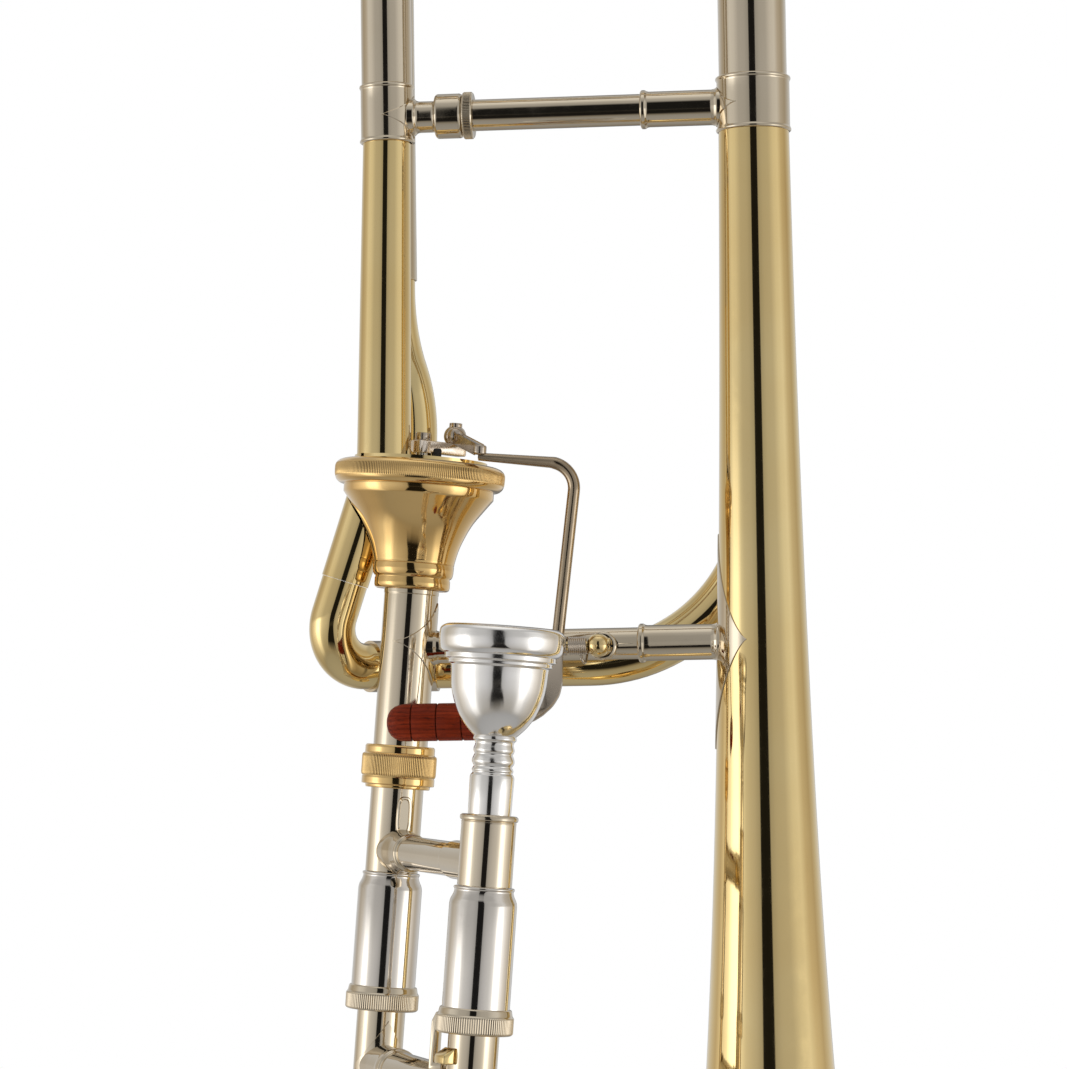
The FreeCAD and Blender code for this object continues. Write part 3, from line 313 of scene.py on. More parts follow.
def densified(outline):
    """The outline with long straight stretches divided."""
    step = 1.2
    result = []
    count = len(outline)
    for i, spot in enumerate(outline):
        here, there = Vector(spot), Vector(outline[(i + 1) % count])
        pieces = max(1, round((there - here).length / step))
        result += [tuple(here.lerp(there, k / pieces)) for k in range(pieces)]
    return result


def fitted_bar(bm, outline, place, core_radius, far_radius, far_from):
    """Spun bar whose two ends are shaped to the tubes that they meet."""
    first = len(bm.verts)
    lathe(bm, densified(outline), place, 96)
    bm.verts.ensure_lookup_table()
    back = place.inverted()
    for vertex in list(bm.verts)[first:]:
        spot = back @ vertex.co / MM
        near = sqrt(max(core_radius ** 2 - min(abs(spot.y), core_radius) ** 2, 0.0))
        spot.z = max(spot.z, near + SEAM)
        far = far_from - sqrt(max(far_radius ** 2 - min(abs(spot.y), far_radius) ** 2, 0.0))
        spot.z = min(spot.z, far - SEAM)
        vertex.co = place @ (spot * MM)


# ---- Finishes ----

class Graph:
    """Node tree of a material or the world."""

    def __init__(self, owner):
        owner.use_nodes = True
        self.tree = owner.node_tree
        self.tree.nodes.clear()

    def add(self, kind, settings=(), **values):
        """New node; values are its inputs by name, with _ for a space."""
        node = self.tree.nodes.new(kind)
        for key, value in dict(settings).items():
            setattr(node, key, value)
        for key, value in values.items():
            self.give(node.inputs[key.replace("_", " ")], value)
        return node

    def give(self, socket, value):
        if isinstance(value, bpy.types.NodeSocket):
            self.tree.links.new(value, socket)
        else:
            socket.default_value = value

    def span(self, value, low, high, new_low=0.0, new_high=1.0):
        return self.add("ShaderNodeMapRange", Value=value, From_Min=low, From_Max=high,
                        To_Min=new_low, To_Max=new_high).outputs[0]

    def blend(self, share, one, other):
        node = self.add("ShaderNodeMix", {"data_type": "RGBA"})
        self.give(node.inputs[0], share)
        for socket, colour in ((node.inputs[6], one), (node.inputs[7], other)):
            self.give(socket, colour if isinstance(colour, bpy.types.NodeSocket)
                      else (*colour, 1.0))
        return node.outputs[2]


class Finish(Graph):
    """One procedural material."""

    def __init__(self, name):
        self.material = bpy.data.materials.new(name)
        super().__init__(self.material)
        self.shader = self.add("ShaderNodeBsdfPrincipled")
        output = self.add("ShaderNodeOutputMaterial")
        self.give(output.inputs["Surface"], self.shader.outputs[0])
        self.place = self.add("ShaderNodeTexCoord").outputs["Object"]

    def stretched(self, scale):
        return self.add("ShaderNodeMapping", Vector=self.place, Scale=scale).outputs[0]

    def noise(self, scale, detail, where=None, rough=0.5):
        node = self.add("ShaderNodeTexNoise", Vector=where or self.place, Scale=scale,
                        Detail=detail, Roughness=rough)
        return node.outputs[0]

    def bump(self, height, distance, strength):
        node = self.add("ShaderNodeBump", Height=height, Distance=distance, Strength=strength)
        return node.outputs[0]

    def attribute(self, name):
        return self.add("ShaderNodeAttribute", {"attribute_name": name}).outputs["Fac"]

    def surface(self, **values):
        for key, value in values.items():
            socket = self.shader.inputs[key.replace("_", " ")]
            self.give(socket, (*value, 1.0) if isinstance(value, tuple) else value)
        return self.material


def metal(name, bright, deep, rough, lines, coat, groove_patina_and_shade_colour=(0.16, 0.10, 0.035)):
    """Polished metal: faint clouding of tone, handling marks and lathe lines, with knurl grooves
    darkened by patina and painted shade.
    """
    look = Finish(name)
    cloud = look.span(look.noise(16, 3), 0.35, 0.68)
    colour = look.blend(cloud, bright, deep)
    dust = look.span(look.noise(900, 2), 0.62, 0.75, 0.0, 0.22)
    colour = look.blend(dust, colour, deep)
    # Knurl grooves darkened towards the given colour: partly patina, partly painted shade in the
    # recesses.
    groove_patina_and_shade = look.span(look.attribute("groove"), 0.0, 1.0, 0.0, 0.75)
    colour = look.blend(groove_patina_and_shade, colour, groove_patina_and_shade_colour)
    marks = look.span(look.noise(150, 5, rough=0.65), 0.42, 0.7, rough, rough * 2.0 + 0.03)
    fine = look.noise(1, 2, where=look.stretched((350, 350, 6000)))
    return look.surface(Base_Color=colour, Metallic=1.0, Roughness=marks,
                        Normal=look.bump(fine, 0.000004, lines), Coat_Weight=coat,
                        Coat_Roughness=0.04, Coat_IOR=1.45)


def rosewood():
    """Reddish close-grained wood with dark pores along the grip, rubbed to a satin, with painted
    shade in its turned grooves.
    """
    look = Finish("rosewood_grain")
    along_grip = look.stretched((70, 420, 420))
    wavy = look.noise(1, 5, where=along_grip, rough=0.6)
    grain = look.add("ShaderNodeTexWave", {"bands_direction": "Z"}, Vector=along_grip,
                     Scale=0.55, Distortion=7.0, Detail=4.0).outputs["Fac"]
    pores = look.noise(1, 3, where=look.stretched((240, 2300, 2300)), rough=0.7)
    colour = look.blend(look.span(wavy, 0.3, 0.72), (0.34, 0.040, 0.0105),
                        (0.168, 0.016, 0.004))
    colour = look.blend(look.span(grain, 0.45, 1.0, 0, 0.45), colour, (0.088, 0.011, 0.004))
    colour = look.blend(look.span(pores, 0.56, 0.70, 0, 0.8), colour, (0.028, 0.006, 0.004))
    # Painted shade: the grip's turned grooves darkened almost to black.
    colour = look.blend(look.span(look.attribute("groove"), 0, 1, 0, 0.8), colour,
                        (0.03, 0.006, 0.004))
    rough = look.span(pores, 0.4, 0.7, 0.36, 0.6)
    return look.surface(Base_Color=colour, Roughness=rough,
                        Normal=look.bump(pores, 0.00012, 0.5), Specular_IOR_Level=0.1)


def soft_stuff(name, one, other, scale, depth, rough):
    """Cork, felt or rubber: two tones in fine specks, with a matching relief."""
    look = Finish(name)
    specks = look.noise(scale, 6, rough=0.7)
    patches = look.noise(scale * 0.18, 3)
    colour = look.blend(look.span(specks, 0.38, 0.66), one, other)
    colour = look.blend(look.span(patches, 0.4, 0.7, 0, 0.4), colour, other)
    return look.surface(Base_Color=colour, Roughness=look.span(specks, 0.3, 0.7, rough, 0.95),
                        Normal=look.bump(specks, depth, 0.7))


LOOKS = {
    "yellow_brass": metal("yellow_brass_lacquered", (0.86, 0.675, 0.33), (0.80, 0.59, 0.255),
                          0.035, 0.2, 0.4),
    "nickel_silver": metal("nickel_silver_polished", (0.70, 0.61, 0.475), (0.63, 0.54, 0.40),
                           0.04, 0.25, 0.3, (0.42, 0.335, 0.225)),
    "silver_plate": metal("silver_plate_bright", (0.94, 0.915, 0.88), (0.89, 0.86, 0.82),
                          0.09, 0.3, 0.0, (0.35, 0.32, 0.28)),
    "steel": metal("steel_satin", (0.58, 0.50, 0.41), (0.49, 0.42, 0.34), 0.14, 0.6, 0.0,
                   (0.12, 0.10, 0.08)),
    "rotor_alloy": metal("rotor_alloy_turned", (0.62, 0.58, 0.50), (0.52, 0.47, 0.38), 0.2,
                         1.0, 0.0),
    "rosewood": rosewood(),
    "felt_black": soft_stuff("felt_black_fibres", (0.02, 0.02, 0.022), (0.05, 0.05, 0.055),
                             2600, 0.0002, 0.8),
    "rubber_black": soft_stuff("rubber_black_moulded", (0.018, 0.017, 0.017),
                               (0.035, 0.033, 0.032), 1400, 0.00006, 0.45),
    "natural_cork": soft_stuff("natural_cork_grains", (0.48, 0.29, 0.15), (0.22, 0.11, 0.05),
                               1500, 0.00018, 0.7),
}
BRIGHT_SCREW = metal("brass_screw_turned", (0.84, 0.67, 0.36), (0.76, 0.57, 0.27), 0.09, 0.8,
                     0.1)
GOLD_BRASS = metal("gold_brass_lacquered", (0.85, 0.585, 0.25), (0.78, 0.51, 0.19), 0.05, 0.3,
                   0.4)
WORN_ROD = metal("lever_rod_worn", (0.45, 0.36, 0.25), (0.37, 0.29, 0.20), 0.12, 0.6, 0.0)
SATIN_ARM = metal("stop_arm_satin", (0.90, 0.80, 0.69), (0.82, 0.72, 0.61), 0.2, 0.8, 0.0)
SLEEVE_METAL = metal("barrel_tube_bright", (0.745, 0.70, 0.64), (0.665, 0.615, 0.55), 0.045,
                     0.25, 0.2)


def placed(name, bm, material):
    """Object in the scene made of the bmesh, which is freed."""
    mesh = bpy.data.meshes.new(name)
    bm.to_mesh(mesh)
    bm.free()
    mesh.materials.append(material)
    thing = bpy.data.objects.new(name, mesh)
    bpy.context.scene.collection.objects.link(thing)
    return thing


def piece(name, bm, node, look=None, sharp=32):
    """Finished mesh standing for a CAD node, riding on its body in its finish."""
    bmesh.ops.remove_doubles(bm, verts=bm.verts, dist=2e-7)
    bmesh.ops.recalc_face_normals(bm, faces=bm.faces)
    slot = SLOT_OF[node]
    thing = placed(name, bm, look or LOOKS[slot])
    thing.data.shade_smooth()
    thing.data.set_sharp_from_angle(angle=radians(sharp))
    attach(thing, BODY_OF[node])
    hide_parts(node)


def turned(name, node, outline, place, segments=112, knurl=None, look=None, sharp=32):
    """Piece spun from one closed outline."""
    bm = bmesh.new()
    lathe(bm, outline, place, segments, knurl)
    piece(name, bm, node, look, sharp)


def carry_over():
    """CAD nodes that keep their shape get the procedural finish of their slot."""
    for thing in NODES.values():
        for entry in thing.material_slots:
            name = entry.material.name
            entry.link = "OBJECT"
            entry.material = LOOKS[name]


# ---- Bell section ----

BELL_TOP = 566
BELL_WALL = 0.5
RIM_RADIUS, BEAD_RADIUS = 108, 1.6
BELL_FERRULE_RADIUS, NECK_FERRULE_RADIUS = 11.95, 8.8
SLEEVE_TOP = 640
F_NECK_X, F_BELL_X, F_Y = -125, -2.5, 30


def bell_radius(z):
    """Outside of the bell and its stem: steep flare, then a slow taper to the ferrule."""
    return 860.9 / (z + 34.07) ** 0.5257 + 0.01665 * z - 27.8


def make_bell():
    """Spun bell on its stem, with the bead of its rim."""
    steps, low = 110, 0.9
    heights = [low + (BELL_TOP - low) * (i / steps) ** 2 for i in range(steps + 1)]
    outside = [(bell_radius(z), z) for z in heights]
    inside = []
    for i, (r, z) in enumerate(outside):
        ahead = Vector(outside[min(i + 1, steps)]) - Vector(outside[max(i - 1, 0)])
        ahead.normalize()
        inside.append((r - BELL_WALL * ahead.y, z + BELL_WALL * ahead.x))
    bm = bmesh.new()
    lathe(bm, outside + inside[::-1], BELL_AXIS, 192)
    bead = [(RIM_RADIUS - BEAD_RADIUS + BEAD_RADIUS * cos(a),
             BEAD_RADIUS + BEAD_RADIUS * sin(a)) for a in map(radians, range(0, 360, 20))]
    lathe(bm, bead, BELL_AXIS, 192)
    piece("bell_spun", bm, "bell_flare", sharp=60)


def make_leg_parts():
    """Ferrules and slide sleeves of the legs."""
    bm = bmesh.new()
    lathe(bm, ferrule_outline(BELL_FERRULE_RADIUS, 11.62, 11.2, 552.7, BELL_TOP, 571), BELL_AXIS)
    lathe(bm, ferrule_outline(NECK_FERRULE_RADIUS, 8.15, 8.5, 552.8, 565.3, 572.3), NECK_LEG)
    piece("leg_ferrules_beaded", bm, "leg_ferrules")

    bm = bmesh.new()
    for outer, low, x, y in ((11.15, 566.1, 0, 0), (8.45, 565.4, -LEG_SPACING, 0),
                             (8.4, 511, F_NECK_X, F_Y), (8.4, 511, F_BELL_X, F_Y)):
        outline = [(outer - 0.5, low), (outer, low)]
        outline += [(outer + proud, SLEEVE_TOP - down) for proud, down in (
            (0, 5.2), (0.75, 4.6), (0.75, 3.2), (0.35, 2.8), (0.35, 2.2), (0.75, 1.8),
            (0.75, 0.6), (0.2, 0), (-0.5, 0))]
        lathe(bm, soften(outline, 0.25), move(x, y))
    piece("slide_sleeves_ringed", bm, "slide_sleeves")


def make_tuning_slide(name, neck_x, bell_x, y, neck_radius, bell_side_radius, bottom, base):
    """Inner legs, shouldered ferrules, cross brace and return bow of one slide."""
    middle, half = (neck_x + bell_x) / 2, (bell_x - neck_x) / 2
    legs, rings = bmesh.new(), bmesh.new()
    for x, radius in ((neck_x, neck_radius), (bell_x, bell_side_radius)):
        lathe(legs, pipe_outline(radius, radius - 0.5, bottom, base - 0.1), move(x, y))
        outline = [(radius + 0.03, base - 10), (radius + 0.9, base - 10),
                   (radius + 1.2, base - 9.4), (radius + 1.2, base - 8.2), (10.7, base - 6),
                   (10.7, base - 1.6), (10.9, base - 1.2), (10.7, base - 0.1),
                   (radius + 0.03, base - 0.1)]
        lathe(rings, soften(outline, 0.4), move(x, y))
    piece(name + "_legs_drawn", legs, name + "_legs")
    piece(name + "_ferrules_turned", rings, name + "_ferrules")
    bm = bmesh.new()
    arch = [Vector((middle + half * cos(a), y, base + half * sin(a)))
            for a in (pi * i / 60 for i in range(61))]
    hollow_bar(bm, arch, 9.8, 9.2, BELL_AXIS, 80)
    piece(name + "_bow_bent", bm, name + "_bow")
    inset = 11.5
    outline = mirrored([(CORE, 0), (4.4, 0), (4.4, 1.2), (3.2, 4.5), (3.0, 7)],
                       2 * half - 2 * inset)
    turned(name + "_brace_turned", name + "_brace", soften(outline, 0.5),
           move(neck_x + inset, y, base - 5) @ turn(90, "Y"), 64)


# ---- Braces ----

UPPER_BRACE, LOWER_BRACE = 561.4, 385.7
FOOT_DEPTH = (LOWER_BRACE - VALVE_LEVEL) / cos(radians(SLIDE_LEAN))
NECK_FOOT = SLIDE @ Vector((0, 0, FOOT_DEPTH * MM)) / MM


def make_braces():
    """Upper brace with its socket and nut, lower brace, sleeves and flanges."""
    place = NECK_LEG @ move(z=UPPER_BRACE) @ turn(90, "Y")
    low_run = (Vector((0, 0, LOWER_BRACE)) - NECK_FOOT).length
    heading = degrees(atan2(-NECK_FOOT.y, -NECK_FOOT.x))
    low_place = move(*NECK_FOOT) @ turn(heading, "Z") @ turn(90, "Y")
    bell_reach = bell_radius(LOWER_BRACE)
    bm = bmesh.new()
    outline = [(CORE, 7), (6.3, 7), (6.1, 9.3), (5.4, 10.0), (5.2, 10.8), (5.2, 15.6),
               (5.4, 16.0), (6.9, 16.3), (7.4, 16.9), (7.4, 24.4), (7.0, 25.2), (CORE, 25.2)]
    fitted_bar(bm, soften(outline, 0.3), place, 8.85, 0, 60)
    piece("upper_brace_socket_turned", bm, "upper_brace_socket")
    outline = [(5.3, 25.4), (7.3, 25.4), (7.8, 25.9), (7.8, 28.4), (7.3, 28.95), (5.3, 28.95)]
    turned("upper_brace_nut_knurled", "upper_brace_nut", soften(outline, 0.2), place,
           knurl=(84, 25.8, 28.5, 0.2), sharp=60)
    turned("upper_brace_tube_drawn", "upper_brace_tube",
           pipe_outline(5.2, 4.5, 25.25, LEG_SPACING - 12.4), place, 96)

    bm = bmesh.new()
    outline = [(4.5, 7), (5.9, 7), (5.7, 9.6), (5.3, 10.6), (5.2, 11.6),
               (5.2, low_run - bell_reach - 0.4), (4.5, low_run - bell_reach - 0.4)]
    fitted_bar(bm, soften(outline, 0.2), low_place, NECKPIPE_RADIUS + SEAM, 0, 200)
    piece("lower_brace_tube_drawn", bm, "lower_brace_tube")
    bm = bmesh.new()
    for axis, low, run, reach in ((place, 84.4, LEG_SPACING, 12.0),
                                  (low_place, low_run - 40.6, low_run, bell_reach)):
        high = run - reach
        outline = [(5.22, low), (6.0, low), (6.4, low + 0.4), (6.4, low + 1.5),
                   (5.95, low + 2.2), (5.85, low + 3), (5.85, high - 1.6), (6.1, high - 0.6),
                   (6.6, high + 0.2), (6.6, high + 3), (5.22, high + 3)]
        fitted_bar(bm, soften(outline, 0.25), axis, 0, reach, run)
    piece("brace_sleeves_turned", bm, "brace_sleeves")

    bm = bmesh.new()
    flange(bm, lambda z: NECK_FERRULE_RADIUS, 95, 7, NECK_LEG @ move(z=UPPER_BRACE))
    flange(bm, lambda z: BELL_FERRULE_RADIUS, 64, 6.5,
           move(z=UPPER_BRACE) @ turn(180, "Z"))
    flange(bm, lambda z: NECKPIPE_RADIUS, 112, 13.5,
           SLIDE @ move(z=FOOT_DEPTH + 1.8) @ turn(heading, "Z"), 1.75)
    flange(bm, lambda z: bell_radius(LOWER_BRACE + z), 72, 35,
           move(z=LOWER_BRACE) @ turn(180, "Z"))
    piece("brace_flanges_fitted", bm, "brace_flanges")


# ---- Valve ----

def make_valve():
    """Knurled rim ring, cone and collar of the valve."""
    outline = [(22.05, -1.0), (25.5, -1.35), (27.0, -1.9), (27.9, -2.8), (28.25, -3.7),
               (28.25, -5.2), (28.2, -6.6), (27.7, -8.2), (26.6, -9.2), (25.4, -9.5),
               (22.05, -9.5)]
    turned("valve_rim_ring_knurled", "valve_rim_ring", soften(outline, 0.5), SLIDE,
           knurl=(268, -7.3, -3.1, 0.22), look=GOLD_BRASS, sharp=60)

    cone = flowing([(24.9, -12.0), (22.0, -15.8), (18.85, -20.1), (16.75, -24),
                    (14.75, -28.9), (13.62, -33.4), (13.5, -34.4)])
    foot = [(13.5, -34.5), (13.28, -34.7), (13.45, -34.95), (13.35, -37.2), (13.15, -38.3),
            (12.8, -38.9), (12.35, -39.2), (12.3, -39.5), (12.5, -39.9), (12.5, -42.0),
            (12.3, -42.8), (11.7, -43.2)]
    inside = [(11.25, -43.2), (11.7, -38), (12.7, -34)] + [(r - 0.8, z) for r, z in cone[-3::-1]]
    turned("valve_casing_spun", "valve_casing",
           [(24.1, -9.52), (24.9, -9.52)] + cone[:-1] + foot + inside, SLIDE, 144,
           look=GOLD_BRASS, sharp=50)

    outline = [(8.97, -43.2), (10.9, -43.2), (11.2, -42.8), (11.2, -41.7), (10.9, -41.3),
               (11.2, -40.9), (11.2, -39.6), (10.9, -39.2), (8.97, -39.2)]
    turned("valve_outlet_collar_turned", "valve_outlet_collar", soften(outline, 0.2), SLIDE,
           look=GOLD_BRASS)


ARM_ANGLE, ARM_SWING, ARM_THROW, ARM_BASE, ARM_THICK = 40, 60, 12.6, 2.6, 3.9
ARM_TOP = ARM_BASE + ARM_THICK


def make_linkage():
    """Stop arm with its screws and bumpers, and the ball-ended link."""
    along_arm = SLIDE @ turn(ARM_ANGLE, "Z")
    bm = bmesh.new()
    sides = [(-2.9, -2.9), (16.1, -2.7), (16.1, 2.7), (-2.9, 2.9)]
    slab(bm, soften(sides, 1.0, 4), ARM_THICK, along_arm @ move(z=ARM_BASE), 0.4)
    lathe(bm, pipe_outline(3.25, 2.05, ARM_BASE - 0.25, ARM_TOP - 0.3), along_arm, 48)
    clamp = along_arm @ move(5.4, 3.0, ARM_BASE + 2.0) @ turn(90, "X")
    lathe(bm, pipe_outline(1.3, CORE, -0.3, 0.9), clamp, 32)
    piece("stop_arm_clamped", bm, "stop_arm", look=SATIN_ARM, sharp=40)

    bm = bmesh.new()
    screw_head(bm, along_arm @ move(z=ARM_TOP + 0.02), 2.5, 2.5)
    stud = along_arm @ move(ARM_THROW, 0, ARM_TOP)
    lathe(bm, pipe_outline(1.2, CORE, 0.02, 5.5, 0.1), stud, 32)
    screw_head(bm, stud @ move(z=5.5), 2.15, 1.5)
    piece("arm_screws_slotted", bm, "arm_screws", sharp=40)

    bm = bmesh.new()
    for side in (ARM_ANGLE + 26.4, ARM_ANGLE - ARM_SWING - 26.4):
        foot = SLIDE @ turn(side, "Z") @ move(9, 0, 0)
        lathe(bm, soften([(CORE, 0.02), (1.4, 0.02), (1.4, 3.1), (1.05, 3.6), (CORE, 3.6)], 0.3),
              foot, 32)
    piece("stop_bumpers_moulded", bm, "stop_bumpers", sharp=40)

    eye = SLIDE.inverted() @ (Vector((-91, HINGE_Y, VALVE_LEVEL)) * MM) / MM
    centre = Vector((ARM_THROW * cos(radians(ARM_ANGLE)),
                     ARM_THROW * sin(radians(ARM_ANGLE)), ARM_TOP + 2.6))
    bm = bmesh.new()
    ball = ball_outline(3.75, -43, 50, 24)
    lathe(bm, [(1.28, ball[0][1])] + ball + [(1.28, ball[-1][1])], SLIDE @ move(*centre), 64)
    run = hypot(eye.x - centre.x, eye.y - centre.y)
    heading = degrees(atan2(eye.y - centre.y, eye.x - centre.x))
    web = [(2.2, 1.6), (2.2, -2.2), (run, -7.4), (run, -4.5), (4.4, 0.3)]
    slab(bm, soften(web[::-1], 0.8), 2.9, SLIDE @ move(*centre) @ turn(heading, "Z")
         @ turn(90, "X") @ move(z=-1.45), 0.5)
    lathe(bm, pipe_outline(2.2, CORE, 1.65, 4.8, 0.7), SLIDE @ move(eye.x, eye.y), 40)
    piece("link_ball_ended", bm, "link", sharp=40)


def slotted_disc(bm, radius, height, place, reach, steps):
    """Two half discs with a screwdriver slot left between them."""
    slot_share = 0.16
    start = asin(slot_share)
    for side in (1, -1):
        angles = [start + (pi - 2 * start) * t / steps for t in range(steps + 1)]
        outline = [(radius * cos(a), side * radius * sin(a)) for a in angles]
        slab(bm, outline[::side], height, place, reach)


def screw_head(bm, place, radius, height):
    """Cheese head with a screwdriver slot cut across it."""
    slot_deep = min(0.5, height * 0.4)
    slotted_disc(bm, radius, height, place, min(0.18, slot_deep * 0.4), 40)
    lathe(bm, pipe_outline(radius - 0.12, CORE, 0, height - slot_deep, 0.05), place, 40)


# ---- Thumb lever ----

HINGE_Y, HINGE_Z = -9, 384.8
BARREL_LEFT, BARREL_RIGHT, BALL_X = -75.3, -63.3, -52.9
GRIP_LEFT, GRIP_Y, GRIP_Z = -120.9, -20, 360.5


def hinge_line(x):
    """Frame on the hinge line at x, its +Z along the hinge."""
    return move(x, HINGE_Y, HINGE_Z) @ turn(90, "Y")


def make_lever():
    """Bent rod, strap, grip, spring, hinge screw and posts."""
    line = bent_line(Vector((-91.2, HINGE_Y, 447.2)), Vector((-59.1, HINGE_Y, 443.9)),
                     Vector((-66.3, HINGE_Y, HINGE_Z + 1.5)), 8.5)
    widths = [1.3] + [1.75 + 0.25 * min(1, i / 3) for i in range(1, len(line))]
    bm = bmesh.new()
    bar(bm, line, widths, 36)
    piece("lever_rod_bent", bm, "lever_rod", look=WORN_ROD, sharp=50)

    lean = degrees(atan2(HINGE_Y - GRIP_Y, HINGE_Z - GRIP_Z))
    face = [(-72, 0), (-64.4, 0), (-64.2, -13), (-64.9, -17.5), (-67, -21.5), (-70.2, -24.7),
            (-73, -26.6), (-76, -27.8), (-81.3, -29), (-81.3, -23.8), (-76.4, -22.6),
            (-73.6, -20.8), (-72.2, -17.6), (-72, -13)]
    bm = bmesh.new()
    slab(bm, soften(face[::-1], 1.5, 4), 2.2,
         move(0, HINGE_Y, HINGE_Z) @ turn(90 - lean, "X") @ move(z=-1.1), 0.4)
    outline = mirrored([(1.56, 0), (3.1, 0), (3.1, 0.9), (2.85, 1.15), (2.85, 1.4),
                        (3.1, 1.65)], BARREL_RIGHT - BARREL_LEFT)
    lathe(bm, soften(outline, 0.15), hinge_line(BARREL_LEFT), 72)
    piece("lever_strap_bent", bm, "lever_strap", sharp=40)

    length, grooves = 39.5, (8.4, 16.6, 24.8)
    outline = [(CORE, 0.0), (1.6, 0.12), (3.0, 0.55), (4.2, 1.35), (5.2, 2.6), (5.8, 4.2),
               (6.08, 6.2)]
    for z in grooves:
        outline += [(6.1, z - 0.42), (5.95, z - 0.2), (5.55, z), (5.95, z + 0.2), (6.1, z + 0.42)]
    outline += [(6.1, length - 1.0), (5.7, length - 0.2), (5.0, length), (CORE, length)]
    bm = bmesh.new()
    lathe(bm, outline, move(GRIP_LEFT, GRIP_Y, GRIP_Z) @ turn(90, "Y"), 96)
    # The groove attribute marks the grip's turned grooves, which the wood darkens as painted
    # shade.
    layer = bm.verts.layers.float["groove"]
    for vertex in bm.verts:
        distance = min(abs(vertex.co.x / MM - GRIP_LEFT - z) for z in grooves)
        vertex[layer] = max(0.0, 1 - distance / 0.3)
    piece("thumb_grip_turned", bm, "thumb_grip", sharp=50)

    turns, radius = 9, 2.55
    left, right = BARREL_RIGHT + 0.75, BALL_X - 3.9
    line = []
    for i in range(turns * 20 + 1):
        share = i / (turns * 20)
        angle = 2 * pi * turns * share
        line.append(Vector((left + (right - left) * share, HINGE_Y + radius * cos(angle),
                            HINGE_Z + radius * sin(angle))))
    tail = [(right - back, HINGE_Y + y, HINGE_Z + z) for back, y, z in (
        (0, 2.4, -2.2), (0.2, 1.2, -4.6), (0.6, -0.8, -5.6), (1.4, -2.0, -4.6),
        (1.6, -1.6, -3.2))]
    line += [Vector(p) for p in flowing([line[-1]] + tail, 5)[1:]]
    bm = bmesh.new()
    bar(bm, line, [0.42] * len(line), 14)
    piece("lever_spring_wound", bm, "lever_spring", sharp=60)

    bm = bmesh.new()
    outline = ball_outline(3.85, -84, 50, 30)
    flat = outline[-1][1]
    lathe(bm, outline + [(CORE, flat)], hinge_line(BALL_X), 72)
    slotted_disc(bm, 2.4, 1.0, hinge_line(BALL_X + flat - 0.05) @ turn(90, "Z"), 0.2, 30)
    lathe(bm, pipe_outline(1.5, CORE, 0, 22, 0.3), hinge_line(BARREL_LEFT - 3), 40)
    piece("hinge_screw_ball_headed", bm, "hinge_screw", look=BRIGHT_SCREW, sharp=45)

    bm = bmesh.new()
    post = hinge_line(BARREL_LEFT - 3.5)
    lathe(bm, pipe_outline(4.2, 1.6, 0, 3.2, 0.5), post, 56)
    slab(bm, soften([(-3, 3.4), (-3, 9.3), (2, 9.3), (2, 3.4)][::-1], 0.5), 3.2, post, 0.4)
    boss = [(CORE, 0), (3.9, 0), (4.7, 0.6), (4.7, 4.4), (CORE, 4.4)]
    lathe(bm, soften(boss, 0.4), move(BALL_X + 0.9, -5.0, HINGE_Z) @ turn(-90, "X"), 64)
    piece("hinge_posts_filed", bm, "hinge_posts", sharp=40)


# ---- Handslide ----

def make_neck_side():
    """Neckpipe, lock nut and tenon."""
    outer = NECKPIPE_RADIUS
    outline = [(8.3, -101), (outer, -101), (outer, -44.9), (9.09, -44.6), (9.09, -43.24),
               (outer, -43.2), (outer, -39.2), (8.3, -39.2)]
    turned("neckpipe_drawn", "neckpipe", soften(outline, 0.1), SLIDE)

    outline = [(9.05, -109), (10.5, -109), (10.7, -108.4), (10.7, -107.9), (11.9, -107.8),
               (12.0, -107.4), (12.0, -105.5), (11.8, -105.2), (12.2, -104.8), (12.35, -104.2),
               (12.35, -98.6), (12.2, -98.0), (11.5, -97.6), (11.5, -95.4), (11.1, -94.8),
               (9.05, -94.8)]
    turned("lock_nut_knurled", "lock_nut", soften(outline, 0.25), SLIDE,
           knurl=(118, -104.9, -97.9, 0.2), look=GOLD_BRASS, sharp=60)

    bm = bmesh.new()
    lathe(bm, pipe_outline(TENON_RADIUS, 7.3, -136.5, -101.1), SLIDE)
    window(bm, SLIDE @ turn(ACROSS, "Z"))
    piece("slide_tenon_turned", bm, "slide_tenon")


def window(bm, place):
    """Long rounded lug with a sunken slot, standing on the tenon above the brace."""
    mid, half_tall, half_wide, squareness = -117.7, 6.3, 2.6, 0.6
    levels = ((1.0, 8.5), (0.98, 9.0), (0.88, 9.35), (0.68, 9.35), (0.6, 9.1), (0.56, 8.75))
    rings = []
    for shrink, reach in levels:
        ring = []
        for k in range(48):
            angle = 2 * pi * k / 48
            y = half_wide * shrink * squared(cos(angle), squareness)
            z = (half_tall - half_wide * (1 - shrink)) * squared(sin(angle), squareness)
            x = reach - TENON_RADIUS + sqrt(TENON_RADIUS ** 2 - y ** 2)
            ring.append(bm.verts.new(place @ (Vector((x, y, mid + z)) * MM)))
        rings.append(ring)
    skin(bm, rings, False)
    bm.faces.new(rings[-1])


